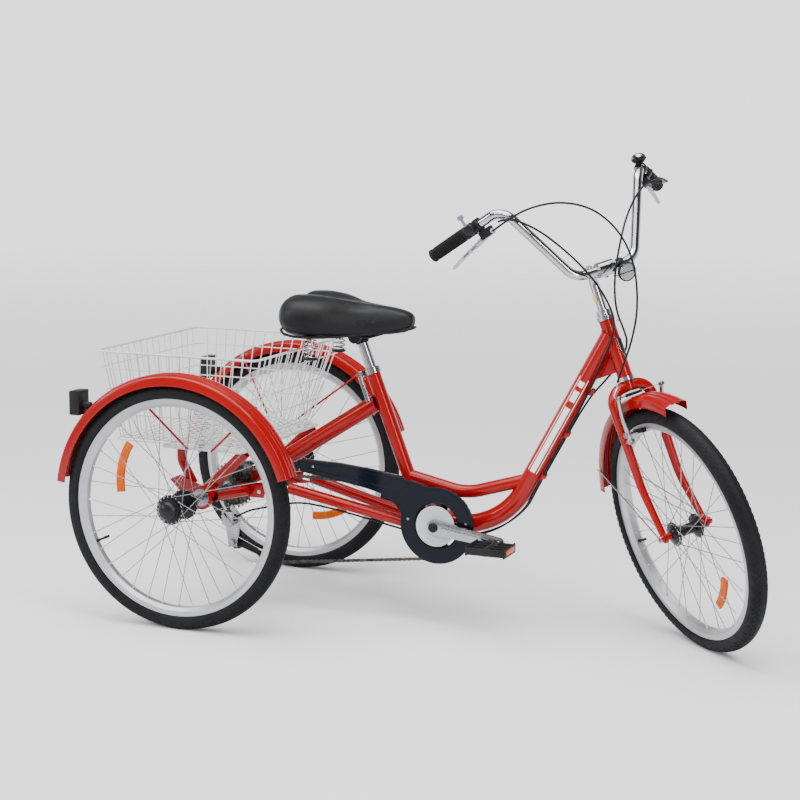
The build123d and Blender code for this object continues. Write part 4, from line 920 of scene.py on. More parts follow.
# ---- rack and basket ----
def build_rack():
    """An angle-iron border round a sheet of expanded metal."""
    build = Build()
    back, front = RACK_X
    z = RACK_Z + RACK_T / 2
    border = [(back + 0.004, RACK_HALF_Y - 0.004), (front - 0.004, RACK_HALF_Y - 0.004),
              (front - 0.004, 0.004 - RACK_HALF_Y), (back + 0.004, 0.004 - RACK_HALF_Y)]
    corners = [Vector((x, y, z)) for x, y in border]
    build.add(tube(rounded(corners, 0.012, closed=True), 0.0039, 10, closed=True))
    pitch = (front - back - 0.012) / MESH_ROWS
    for i in range(MESH_ROWS + 1):
        x = back + 0.006 + i * pitch
        strand = []
        for j in range(MESH_WAVES * 6 + 1):
            phase = pi * j / 6 + (pi if i % 2 else 0)
            y = (2 * RACK_HALF_Y - 0.012) * (j / (MESH_WAVES * 6) - 0.5)
            strand.append(Vector((x + 0.47 * pitch * cos(phase), y, z)))
        strand = [Vector((min(max(p.x, back + 0.003), front - 0.003), p.y, p.z)) for p in strand]
        build.add(tube(strand, 0.0013, 6))
    for y in (-RACK_RAIL_Y, RACK_RAIL_Y):
        build.add(tube([(back + 0.004, y, z - 0.0012), (front - 0.004, y, z - 0.0012)], 0.0027, 10))
    build.done("rack_mesh", [MATERIALS["white_wire"]], "frame", ["rack_tray"])


def basket_level(z):
    """The basket's back, front and half width at a height."""
    share = (z - BASKET_Z[0]) / (BASKET_Z[1] - BASKET_Z[0])
    return [low + (high - low) * share for low, high in zip(BASKET_BOTTOM, BASKET_TOP)]


def build_basket():
    """The wire basket: level hoops, and wires that run down, across and up."""
    build = Build()
    low, high = BASKET_Z
    grow = 2 * BASKET_WIRE_R
    levels = [(high, BASKET_RIM_R)]
    levels += [(high - drop, BASKET_WIRE_R) for drop in BASKET_HOOPS]
    levels += [(low, BASKET_WIRE_R)]
    for z, radius in levels:
        back, front, half = basket_level(z)
        corners = [(front + grow, half + grow, z), (front + grow, -half - grow, z),
                   (back - grow, -half - grow, z), (back - grow, half + grow, z)]
        build.add(tube(rounded(corners, 0.026, 8, closed=True), radius, 10, closed=True))
    along, across = BASKET_BARS
    back0, front0, half0 = basket_level(low)
    back1, front1, half1 = basket_level(high)
    top = high - 0.002
    for i in range(along):
        share = (i + 0.5) / along
        x0 = back0 + 0.014 + (front0 - back0 - 0.028) * share
        x1 = back1 + 0.014 + (front1 - back1 - 0.028) * share
        wire = [(x1, -half1, top), (x0, -half0, low + 0.003), (x0, half0, low + 0.003),
                (x1, half1, top)]
        build.add(tube(rounded(wire, 0.012, 5), BASKET_WIRE_R, 8))
    for i in range(across):
        share = (i + 0.5) / across
        y0 = -half0 + 0.014 + (2 * half0 - 0.028) * share
        y1 = -half1 + 0.014 + (2 * half1 - 0.028) * share
        wire = [(back1, y1, top), (back0, y0, low + 0.0005), (front0, y0, low + 0.0005),
                (front1, y1, top)]
        build.add(tube(rounded(wire, 0.012, 5), BASKET_WIRE_R, 8))
    build.done("wire_basket", [MATERIALS["white_wire"]], "frame", ["basket"])


# ---- saddle ----
def saddle_ring(share, half, top, skirt, groove):
    """One closed section across the saddle: crown, rounded sides and hollow underside."""
    x = SADDLE_NOSE - (SADDLE_NOSE - SADDLE_BACK) * share
    crown = SADDLE_Z + top
    edge = SADDLE_Z + skirt
    under = max(edge + 0.010, SADDLE_Z + 0.022) if 0.05 < share < 0.95 else edge + 0.004
    widest = edge + 0.42 * (crown - edge)
    ring = []
    count = 40
    for i in range(count):
        angle = 2 * pi * i / count - pi / 2
        c, s = cos(angle), sin(angle)
        y = half * copysign(abs(c) ** 0.66, c)
        if s >= 0:
            fall = groove * exp(-(y / 0.026) ** 2)
            z = widest + (crown - widest) * s ** 0.78 - fall
        else:
            low = abs(s)
            z = widest - (widest - edge) * min(low / 0.80, 1.0) ** 0.8
            y *= 1 - 0.10 * low
            if low > 0.80:
                z = edge + (under - edge) * (low - 0.80) / 0.20
        ring.append(Vector((x, y, z)))
    return ring


def build_saddle():
    """The padded cover, puffed by cloth simulation."""
    rings = [saddle_ring(*station) for station in SADDLE_STATIONS]
    count = len(rings[0])
    verts = [p for ring in rings for p in ring]
    faces = []
    for i in range(len(rings) - 1):
        for j in range(count):
            k = (j + 1) % count
            faces.append((i * count + j, (i + 1) * count + j, (i + 1) * count + k, i * count + k))
    faces.append(tuple(range(count)))
    faces.append(tuple(range((len(rings) - 1) * count, len(rings) * count))[::-1])
    mesh = bpy.data.meshes.new("saddle_cover")
    mesh.from_pydata(verts, [], faces)
    obj = new_object("saddle_cover", mesh)
    shape_up(obj, 1)
    puff(obj, 0.005, 0.005)
    shape_up(obj, 1)
    keep_in_box(obj)
    mesh = obj.data
    mesh.materials.clear()
    mesh.materials.append(MATERIALS["saddle_vinyl"])
    mesh.polygons.foreach_set("use_smooth", [True] * len(mesh.polygons))
    settle(obj, "seat", ["saddle"])


def shape_up(obj, levels):
    """Subdivide a piece and keep the result as its mesh."""
    modifier = obj.modifiers.new("subdivision", "SUBSURF")
    modifier.levels = levels
    apply_modifiers(obj)


def puff(obj, voxel, cap):
    """Swell a padded piece a little by cloth simulation, and cap how far each point may go."""
    remesh = obj.modifiers.new("remesh", "REMESH")
    remesh.mode = "VOXEL"
    remesh.voxel_size = voxel
    apply_modifiers(obj)
    start = [v.co.copy() for v in obj.data.vertices]
    cloth = obj.modifiers.new("cloth", "CLOTH")
    cloth.settings.effector_weights.gravity = 0
    cloth.settings.use_pressure = True
    cloth.settings.uniform_pressure_force = 4
    for number in range(1, 21):
        scene.frame_set(number)
    apply_modifiers(obj)
    for vertex, origin in zip(obj.data.vertices, start):
        shift = vertex.co - origin
        if shift.length > cap:
            vertex.co = origin + shift * (cap / shift.length)
    scene.frame_set(1)


def keep_in_box(obj):
    """Hold the piece inside its CAD solid's outline and top."""
    low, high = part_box("saddle")
    for vertex in obj.data.vertices:
        for axis in range(2):
            vertex.co[axis] = min(max(vertex.co[axis], low[axis]), high[axis])
        vertex.co.z = min(vertex.co.z, high.z)


def build_saddle_trim():
    """The edge of the stiff plastic base under the saddle's cover."""
    build = Build()
    edge = []
    for share, half, _, skirt, _ in SADDLE_STATIONS[1:-1]:
        x = SADDLE_NOSE - (SADDLE_NOSE - SADDLE_BACK) * share
        edge.append(Vector((x, half * 0.84, SADDLE_Z + skirt + 0.006)))
    line = edge + [Vector((p.x, -p.y, p.z)) for p in edge[::-1]]
    build.add(tube(rounded(line, 0.03, 4, closed=True), 0.0034, 10, closed=True))
    build.done("saddle_base_edge", [PLASTIC], "seat")


def build_springs():
    """Two conical springs with their caps."""
    build = Build()
    for side in (-1, 1):
        foot = Vector((SADDLE_BACK + 0.090, side * 0.084, SADDLE_Z - 0.056))
        coil = []
        for i in range(COIL_STEPS + 1):
            share = i / COIL_STEPS
            radius = 0.0125 + 0.0040 * sin(pi * share) ** 0.6 - 0.0015 * share
            angle = 2 * pi * COIL_TURNS * share
            coil.append(foot + Vector((radius * cos(angle), side * radius * sin(angle),
                                       -0.002 + 0.048 * share)))
        build.add(tube(coil, 0.0022, 10))
        cap = [(-0.009, 0.0100), (-0.008, 0.0170), (-0.0035, 0.0188), (-0.0030, 0.0150)]
        build.add(turned(cap, 32), pointing(foot, (0, 0, 1)), 1)
        top_cap = [(0.0470, 0.0150), (0.0475, 0.0186), (0.0520, 0.0178), (0.0538, 0.0120)]
        build.add(turned(top_cap, 32), pointing(foot, (0, 0, 1)), 1)
    build.done("saddle_coils", [CHROME, PLASTIC], "seat", ["saddle_springs"])


# ---- drive ----
def tangent_run(first, second):
    """The straight run of a chain from one wheel to the next; each is (x, z, radius, turn)."""
    x1, z1, r1, turn1 = first
    x2, z2, r2, turn2 = second
    span = hypot(x2 - x1, z2 - z1)
    heading = atan2(z2 - z1, x2 - x1)
    lean = asin((turn1 * r1 - turn2 * r2) / span)
    normal = heading - pi / 2 + lean
    return (normal, (x1 + r1 * turn1 * cos(normal), z1 + r1 * turn1 * sin(normal)),
            (x2 + r2 * turn2 * cos(normal), z2 + r2 * turn2 * sin(normal)))


def chain_points():
    """Joint places a pitch apart round the chainring, the cog and both pulleys."""
    wheels = [(BB.x, BB.z, CHAINRING_R, 1), (0, WHEEL_R, COG_R, 1),
              (*GUIDE_PULLEY, PULLEY_R, -1), (*TENSION_PULLEY, PULLEY_R, 1)]
    runs = [tangent_run(wheels[i], wheels[(i + 1) % 4]) for i in range(4)]
    line = []
    for i, (x, z, radius, turn) in enumerate(wheels):
        arrive = runs[i - 1][2]
        leave = runs[i][1]
        begin = atan2(arrive[1] - z, arrive[0] - x)
        end = atan2(leave[1] - z, leave[0] - x)
        sweep = (end - begin) * turn % (2 * pi) * turn
        for k in range(41):
            line.append(Vector((x, CHAIN_Y, z)) + polar(radius, begin + sweep * k / 40))
    line.append(line[0])
    lengths = [(b - a).length for a, b in zip(line, line[1:])]
    links = round(sum(lengths) / CHAIN_PITCH / 2) * 2
    pitch = sum(lengths) / links
    points = []
    walked = 0.0
    for start, end, length in zip(line, line[1:], lengths):
        while length and len(points) * pitch < walked + length and len(points) < links:
            points.append(start.lerp(end, (len(points) * pitch - walked) / length))
        walked += length
    return points


def build_chain():
    """Link plates, rollers and pins along the chain line."""
    build = Build()
    joints = chain_points()
    for i, here in enumerate(joints):
        there = joints[(i + 1) % len(joints)]
        length = (there - here).length
        place = frame_at(here, there - here, Vector((0, -1, 0)).cross(there - here) * -1)
        waist = link_outline(length)
        for side in (-1, 1):
            y = side * (0.0024 if i % 2 else 0.0033)
            build.add(plate(waist, y - LINK_T / 2, y + LINK_T / 2), place)
        roller = [(-0.0019, 0.0036), (0.0019, 0.0036)]
        build.add(turned(roller, 12), place)
        pin = [(-0.0037, 0.0016), (0.0037, 0.0016)]
        build.add(turned(pin, 8), place)
    build.done("roller_chain", [MATERIALS["chain_steel"]], "frame", ["drive_chain"])


def link_outline(length):
    """A link plate's waisted outline."""
    out = []
    for middle, start in ((0.0, pi / 2), (length, -pi / 2)):
        for k in range(7):
            angle = start + pi * k / 6
            out.append((middle + 0.0039 * cos(angle), 0.0039 * sin(angle)))
        out.append((length / 2, -0.0028 if middle == 0.0 else 0.0028))
    return out


def build_chainring():
    """The toothed ring, its arms and bolts, and the grey disc outside it."""
    build = Build()
    place = move((BB.x, CHAIN_Y, BB.z))
    teeth = gear_outline(RING_TEETH, CHAINRING_R - 0.0035, CHAINRING_R + 0.0028)
    build.add(flat_solid("ring", [teeth, circle(0.056)], 0.0024, 0.0003, place))
    for i in range(5):
        arm = hull_outline(0.013, 0.007, 0.046)
        spin = Matrix.Rotation(2 * pi * i / 5, 4, "Y")
        build.add(plate(arm, -0.0085, -0.0035), place @ spin @ move((0.014, 0, 0)), 0)
        bolt = [(0, 0.0046), (0.002, 0.0046), (0.003, 0.0036)]
        at = place @ spin @ move((0.060, -0.0085, 0))
        build.add(turned(bolt, 16), at @ Matrix.Rotation(pi, 4, "X"), 0)
    disc = [(-0.0300, 0.0090), (-0.0302, 0.0490), (-0.0290, 0.0500), (-0.0275, 0.0500),
            (-0.0270, 0.0490), (-0.0270, 0.0090)]
    build.add(lathe(disc, 96), place, 1)
    build.add(lathe(ring(-0.0300, -0.0030, 0.0090, 0.0280), 48), place)
    build.done("toothed_chainring", [MATERIALS["black_metal"], GREY_DISC], "crankset",
               ["chainring"])


def build_freewheel():
    """Six toothed cogs on their carrier."""
    build = Build()
    for i, radius in enumerate(COG_RADII):
        y = CHAIN_Y + (2 - i) * COG_STEP
        teeth = round(2 * pi * radius / CHAIN_PITCH)
        outline = gear_outline(teeth, radius - 0.0034, radius + 0.0022)
        place = move((0, y, WHEEL_R))
        build.add(flat_solid("cog", [outline, circle(0.0215)], 0.0020, 0.0002, place))
    body = ring(CHAIN_Y - 3 * COG_STEP - 0.004, CHAIN_Y + 2 * COG_STEP + 0.004, 0.0147, 0.0218)
    build.add(lathe(body, 48), move((0, 0, WHEEL_R)))
    build.done("toothed_freewheel", [MATERIALS["chain_steel"]], "freewheel", ["freewheel"])


def build_derailleur():
    """Toothed pulleys between the plates of the cage, and the spring housing's cap."""
    build = Build()
    for centre in (GUIDE_PULLEY, TENSION_PULLEY):
        place = move((centre[0], CHAIN_Y, centre[1]))
        outline = gear_outline(PULLEY_TEETH, PULLEY_R - 0.0042, PULLEY_R + 0.0012)
        build.add(flat_solid("pulley", [outline, circle(0.0048)], 0.0036, 0.0004, place))
        cap = [(0, 0.0052), (0.0014, 0.0052), (0.0022, 0.0040)]
        at = move((centre[0], -0.060, centre[1])) @ Matrix.Rotation(pi, 4, "X")
        build.add(turned(cap, 6), at, 1)
    build.done("derailleur_pulleys", [PLASTIC, STEEL], "derailleur_cage",
               bevel=0.0003)


def build_cranks():
    """Both arms with their ribs, dust caps, pedal spindles and the axle."""
    build = Build()
    for side, flip in ((-1, 0.0), (1, pi)):
        angle = CRANK_AT_REST + flip
        turn = move(BB) @ Matrix.Rotation(-angle, 4, "Y")
        y_in = side * CRANK_IN_Y
        y_out = side * (CRANK_IN_Y + CRANK_T)
        low, high = min(y_in, y_out), max(y_in, y_out)
        outline = hull_outline(0.0175, 0.0128, CRANK_LENGTH, 14)
        build.add(plate(outline, low, high), turn, 0)
        rib = hull_outline(0.0080, 0.0052, 0.112, 10)
        rib_low, rib_high = sorted((y_out - side * 0.001, y_out + side * 0.0012))
        at_rib = turn @ move((0.028, 0, 0))
        build.add(plate(rib, rib_low, rib_high), at_rib, 0)
        dust = [(0, 0.0120), (0.0030, 0.0118), (0.0048, 0.0090), (0.0054, 0.0040)]
        build.add(turned(dust, 32), turn @ pointing((0, y_out, 0), (0, side, 0)), 1)
        spindle = [(side * 0.091, 0.0049), (side * 0.184, 0.0049)]
        build.add(turned(spindle, 20), turn @ move((CRANK_LENGTH, 0, 0)), 2)
        flange = [(0.0, 0.0078), (0.0040, 0.0078), (0.0052, 0.0062)]
        at = turn @ pointing((CRANK_LENGTH, y_out, 0), (0, side, 0))
        build.add(turned(flange, 6), at, 2)
    axle = [(-0.083, 0.0083), (0.083, 0.0083)]
    build.add(turned(axle, 32), move(BB), 2)
    build.done("crank_arms", [ALLOY, PLASTIC, STEEL], "crankset", ["cranks"],
               bevel=0.0014)


def build_pedal(name, side):
    """A resin pedal: toothed cage rails, ribs, a middle barrel and orange reflectors."""
    angle = CRANK_AT_REST + (0.0 if side < 0 else pi)
    middle = BB + polar(CRANK_LENGTH, angle, side * PEDAL_Y)
    place = move(middle)
    build = Build()
    barrel = [(-0.0400, 0.0056), (-0.0400, 0.0105), (0.0400, 0.0095), (0.0400, 0.0056)]
    build.add(lathe([(y * side, r) for y, r in barrel], 32), place)
    end_cap = [(0.0395, 0.0100), (0.0412, 0.0092), (0.0418, 0.0060)]
    build.add(turned(end_cap, 24), place @ facing(side))
    for way in (-1, 1):
        rail = move((way * 0.0470, 0, 0))
        build.add(block(0.0050, 0.0800, 0.0180), place @ rail, 0)
        for k in range(9):
            y = (k - 4) * 0.0094
            for up in (-1, 1):
                tooth = move((way * 0.0470, y, up * 0.0100))
                build.add(block(0.0046, 0.0040, 0.0036), place @ tooth, 0)
        build.add(block(0.0030, 0.0560, 0.0120),
                  place @ move((way * 0.0487, 0, 0)), 1)
        for y in (-0.034, -0.012, 0.012, 0.034):
            rib = move((way * 0.0270, y, 0))
            build.add(block(0.0390, 0.0044, 0.0150), place @ rib, 0)
    for y in (-0.0395, 0.0395):
        build.add(block(0.0950, 0.0044, 0.0170), place @ move((0, y, 0)), 0)
    build.done("pedal_" + name + "_cage", [PLASTIC, ORANGE_LENS], "pedal_" + name,
               ["pedal_" + name], bevel=0.0009)


def build_guard():
    """The chain guard: a dished glossy face with a raised edge and a lip behind it."""
    arc = []
    start, finish = radians(102), radians(-193)
    for i in range(49):
        angle = start + (finish - start) * i / 48
        arc.append((BB.x + GUARD_R * cos(angle), BB.z + GUARD_R * sin(angle)))
    upper = [(0.200, 0.386), (0.250, 0.3858), (0.306, 0.384), (0.390, 0.3755), (0.470, 0.364),
             (0.520, 0.3515)]
    lower = [(0.455, 0.297), (0.417, 0.319), (0.380, 0.328), (0.349, 0.333), (0.270, 0.345),
             (0.200, 0.356)]
    outline = upper + arc + lower
    hole = circle(0.0555, BB.x, BB.z, 72)
    build = Build()
    face_at = move((0, GUARD_FACE_Y, 0))
    build.add(flat_solid("face", [outline, hole], 0.0024, 0.0008, face_at))
    lip_at = move((0, GUARD_LIP_Y, 0))
    upper_band = upper[:-1]
    band = upper_band + [(x, z - 0.0022) for x, z in upper_band[::-1]]
    build.add(flat_solid("lip", [band], 0.0140, 0.0006, lip_at))
    edge = rounded([Vector((x, -0.0674, z)) for x, z in inset(outline, 0.0065)], 0.02, 3,
                   closed=True)
    build.add(tube(edge, 0.00075, 8, closed=True))
    hole_edge = [Vector((x, -0.0674, z)) for x, z in circle(0.0570, BB.x, BB.z, 72)]
    build.add(tube(hole_edge, 0.0011, 10, closed=True))
    facet = [(0.215, 0.377), (0.306, 0.3755), (0.400, 0.3655), (0.470, 0.3545), (0.498, 0.346),
             (0.470, 0.3335), (0.430, 0.335), (0.350, 0.3475), (0.215, 0.3665)]
    facet_line = [Vector((x, -0.0676, z)) for x, z in facet]
    build.add(tube(rounded(facet_line, 0.006, 4, closed=True), 0.0007, 8, closed=True))
    for x, z in ((0.235, 0.371), (0.640, 0.262), (0.490, 0.262)):
        screw = [(0, 0.0048), (0.0004, 0.0046), (0.0007, 0.0030)]
        build.add(turned(screw, 20), pointing((x, -0.0673, z), (0, -1, 0)), 1)
    build.done("guard_shell", [MATERIALS["guard_gloss"], STEEL], "frame", ["chain_guard"],
               angle=30)


def inset(outline, distance):
    """The same closed outline moved inwards."""
    area = sum(a[0] * b[1] - b[0] * a[1] for a, b in zip(outline, outline[1:] + outline[:1]))
    turn = 1 if area > 0 else -1
    out = []
    count = len(outline)
    for i in range(count):
        along = Vector(outline[(i + 1) % count]) - Vector(outline[i - 1])
        along.normalize()
        out.append((outline[i][0] - turn * along.y * distance,
                    outline[i][1] + turn * along.x * distance))
    return out


# ---- handlebar and controls ----
BAR_CENTRE = on_head(BAR_UP, BAR_AHEAD)


def bar_end(side):
    """The bar's end, and the directions along it, down to the lever and across, turned to rest."""
    end = BAR_CENTRE + Vector((BAR_END.x, side * BAR_END.y, BAR_END.z))
    top = BAR_CENTRE + Vector((BAR_TOP.x, side * BAR_TOP.y, BAR_TOP.z))
    along = (top - end).normalized()
    down = Vector((0.25, 0, -1))
    down = (down - along * down.dot(along)).normalized()
    across = along.cross(down)
    turn = STEERED.to_3x3()
    return STEERED @ end, turn @ along, turn @ down, turn @ across


def build_grips():
    """Ribbed rubber grips."""
    build = Build()
    for _, side in SIDES:
        end, along, _, _ = bar_end(side)
        place = pointing(end, along)
        profile = [(-0.0030, 0.0010), (-0.0030, 0.0120), (-0.0024, 0.0150), (-0.0010, 0.0160),
                   (0.0030, 0.0160), (0.0042, 0.0150)]
        ribs = 24
        for i in range(ribs):
            y = 0.0060 + i * (GRIP_LENGTH - 0.0180) / ribs
            swell = 0.0138 + 0.0012 * sin(pi * (i + 0.5) / ribs)
            profile.extend([(y, swell - 0.0009), (y + 0.0008, swell + 0.0006),
                            (y + 0.0024, swell + 0.0006), (y + 0.0030, swell - 0.0009)])
        profile.extend([(GRIP_LENGTH - 0.0100, 0.0158), (GRIP_LENGTH - 0.0010, 0.0158),
                        (GRIP_LENGTH, 0.0150), (GRIP_LENGTH, BAR_R + 0.0001)])
        build.add(turned(profile, 48), place)
        for i in range(6):
            angle = 2 * pi * i / 6
            fin = tube([polar(0.0147, angle, 0.010), polar(0.0149, angle, GRIP_LENGTH - 0.014)],
                       0.0009, 6)
            build.add(fin, place)
    build.done("ribbed_grips", [MATERIALS["grip_rubber"]], "steering", ["grips"],
               angle=50)


def build_levers():
    """Flat brake levers with two slots each; each slot is a black strip on both faces, painted shade
    standing in for the recess.
    """
    for name, side in SIDES:
        end, along, down, _ = bar_end(side)
        pivot = end + along * LEVER_AT + down * LEVER_DROP
        place = frame_at(pivot, along, down)
        build = Build()
        smooth_line = rounded([Vector((x, 0, z)) for x, z in LEVER_OUTLINE], 0.012, 4, closed=True)
        outline = [(p.x, p.z) for p in smooth_line]
        build.add(plate(outline, -0.0038, 0.0038), place)
        # Each slot is a black strip standing out of both faces: painted shade where the real slot is
        # recessed.
        for x0, x1, z0, z1 in ((-0.030, -0.048, 0.0082, 0.0098), (-0.056, -0.074, 0.0108, 0.0136)):
            slot_shade_line = [Vector((x0, 0, z0)), Vector((x1, 0, z1))]
            build.add(tube(slot_shade_line, 0.0017, 12), place @ move((0, -0.0026, 0)), 1)
            build.add(tube(slot_shade_line, 0.0017, 12), place @ move((0, 0.0026, 0)), 1)
        screw = [(0, 0.0042), (0.0014, 0.0042), (0.0021, 0.0034), (0.0022, 0.0010)]
        build.add(turned(screw, 16), place @ move((0, 0.0037, 0)), 2)
        build.done("lever_blade_" + name, [ALLOY, BLACK, STEEL], "brake_lever_" + name,
                   ["brake_lever_" + name], bevel=0.0011)


def build_control_trim():
    """Barrel adjusters, and the clamp bolts with their ears."""
    build = Build()
    routes = {"right": FRONT_BRAKE_ROUTE, "left": REAR_BRAKE_ROUTE}
    for name, side in SIDES:
        end, along, down, across = bar_end(side)
        seat = end + along * LEVER_AT
        start = Vector(routes[name][0])
        origin = seat + down * 0.026 + along * 0.022
        heading = (start - origin).normalized()
        knob = [(-0.0125, 0.0035), (-0.0125, 0.0052), (-0.0110, 0.0056), (-0.0060, 0.0056),
                (-0.0045, 0.0050), (-0.0040, 0.0040), (-0.0005, 0.0036), (-0.0005, 0.0028)]
        build.add(turned(knob, 20), pointing(start, heading), 0)
        bolt = [(0.0, 0.0036), (0.0030, 0.0036), (0.0040, 0.0028)]
        bolt_at = seat + across * 0.0158
        build.add(turned(bolt, 6), pointing(bolt_at, across), 1)
        ear = frame_at(seat + across * 0.0150, along, down)
        build.add(block(0.0120, 0.0080, 0.0070), ear, 2)
    build.done("control_trim", [MATERIALS["clear_lens"], STEEL, PLASTIC], "steering",
               bevel=0.0006)


def build_shift_lever():
    """The shifter's dial and its thumb lever."""
    end, along, down, across = bar_end(-1)
    spin_at = end + along * SHIFTER_AT - across * 0.0264
    build = Build()
    dome = [(0, 0.0138), (0.0020, 0.0138), (0.0036, 0.0126), (0.0045, 0.0100), (0.0049, 0.0050),
            (0.0050, 0.0010)]
    build.add(turned(dome, 40), pointing(spin_at, -across), 0)
    tip = spin_at - across * 0.0025 - down * 0.034
    root = spin_at - across * 0.0025 - down * 0.010
    build.add(tube([root, root.lerp(tip, 0.5) - across * 0.0006, tip], [0.0045, 0.0034, 0.0040], 14),
              None, 1)
    pad = frame_at(tip, along, down)
    build.add(block(0.0110, 0.0140, 0.0100), pad, 1)
    build.done("shifter_paddle", [BLACK, LEVER_TIP], "shift_lever", ["shift_lever"],
               bevel=0.0018)


def build_bell():
    """The bell on its strap, and the lever that rings it."""
    end, along, down, across = bar_end(1)
    seat = end + along * BELL_AT
    base = seat - down * 0.015
    place = pointing(base, -down)
    build = Build()
    shell = [(0.0080, 0.0172), (0.0080, 0.0190), (0.0105, 0.0189), (0.0150, 0.0174),
             (0.0186, 0.0140), (0.0208, 0.0092), (0.0218, 0.0040), (0.0220, 0.0004),
             (0.0206, 0.0004), (0.0195, 0.0086), (0.0174, 0.0130), (0.0142, 0.0158)]
    build.add(lathe(shell, 64), place)
    nut = [(0.0200, 0.0034), (0.0219, 0.0034), (0.0220, 0.0020)]
    build.add(turned(nut, 20), place)
    stud = [(0.0050, 0.0030), (0.0205, 0.0030)]
    build.add(turned(stud, 16), place, 1)
    cup = [(0.0000, 0.0030), (0.0000, 0.0110), (0.0020, 0.0140), (0.0064, 0.0172),
           (0.0074, 0.0172), (0.0074, 0.0030)]
    build.add(lathe(cup, 48), place, 1)
    strap = [(-0.0058, BAR_R + 0.0002), (-0.0058, BAR_R + 0.0034), (-0.0040, BAR_R + 0.0040),
             (0.0040, BAR_R + 0.0040), (0.0058, BAR_R + 0.0034), (0.0058, BAR_R + 0.0002)]
    build.add(lathe(strap, 40), pointing(seat, along), 1)
    build.done("bell_dome", [ALLOY, PLASTIC], "steering", ["bell"])
    arm_at = base + along * 0.025 - down * 0.004
    flick = Build()
    flick.add(turned([(-0.003, 0.0050), (0.003, 0.0050)], 24), pointing(arm_at, down), 0)
    thumb = [arm_at, arm_at + along * 0.008 - down * 0.001, arm_at + along * 0.018]
    flick.add(tube(thumb, [0.0028, 0.0024, 0.0030], 12))
    pad = frame_at(arm_at + along * 0.018, across, down)
    flick.add(block(0.0080, 0.0070, 0.0060), pad, 0)
    flick.done("bell_thumb", [PLASTIC], "bell_lever", ["bell_lever"], bevel=0.0012)


def build_front_reflector():
    """The round reflector with its bar and bracket."""
    centre = BAR_CENTRE + Vector((0.022, 0.040, -0.014))
    place = STEERED @ pointing(centre, (1, 0, 0))
    build = Build()
    rim = [(0.0000, 0.0010), (0.0000, 0.0215), (0.0010, 0.0228), (0.0085, 0.0229),
           (0.0098, 0.0222), (0.0098, 0.0206), (0.0084, 0.0204), (0.0080, 0.0010)]
    build.add(lathe(rim, 64), place, 1)
    lens = [(0.0078, 0.0204), (0.0088, 0.0202), (0.0094, 0.0150), (0.0097, 0.0080), (0.0098, 0.0005)]
    build.add(turned(lens, 64), place)
    bar_line = [Vector((0, -0.020, 0)), Vector((0, 0.020, 0))]
    at_bar = STEERED @ move(centre + Vector((0.0086, 0, 0)))
    build.add(tube(bar_line, 0.0018, 8), at_bar, 1)
    hook = BAR_CENTRE + Vector((0, 0.040, 0))
    stem = [STEERED @ hook, STEERED @ (hook + Vector((0.012, 0, -0.011))), STEERED @ centre]
    build.add(tube(stem, 0.0046, 14), None, 1)
    strap = ring(-0.0058, 0.0058, BAR_R + 0.0001, BAR_R + 0.0028)
    build.add(lathe(strap, 40), STEERED @ move(hook), 1)
    build.done("bar_reflector", [MATERIALS["clear_lens"], PLASTIC], "steering",
               ["front_reflector"], bevel=0.0004)


def build_stem_trim():
    """The quill bolt, the clamp's pinch bolt and a plain round sticker."""
    build = Build()
    top = on_head(BAR_UP + 0.0172)
    socket = [(-0.0010, 0.0060), (0.0022, 0.0060), (0.0030, 0.0052), (0.0030, 0.0030),
              (0.0010, 0.0028), (0.0010, 0.0005)]
    build.add(turned(socket, 24), STEERED @ pointing(top, HEAD_UP), 0)
    pinch = on_head(BAR_UP - 0.0176, BAR_AHEAD - 0.004, 0)
    bolt = [(-0.003, 0.0050), (0.003, 0.0050), (0.004, 0.0040)]
    build.add(turned(bolt, 6), STEERED @ pointing(pinch, -HEAD_UP), 0)
    sticker = [(0.0, 0.0095), (0.0004, 0.0094), (0.0005, 0.0060)]
    at = on_head(BAR_UP - 0.060, 0, -0.0108)
    build.add(turned(sticker, 32), STEERED @ pointing(at, (0, -1, 0)), 1)
    nut_at = HEAD_TOP + HEAD_UP * 0.0128
    nut = ring(-0.0035, 0.0035, 0.0140, 0.0182)
    build.add(lathe(nut, 8), STEERED @ pointing(nut_at, HEAD_UP), 0)
    build.done("stem_trim", [CHROME, YELLOW_DECAL], "steering", bevel=0.0005)


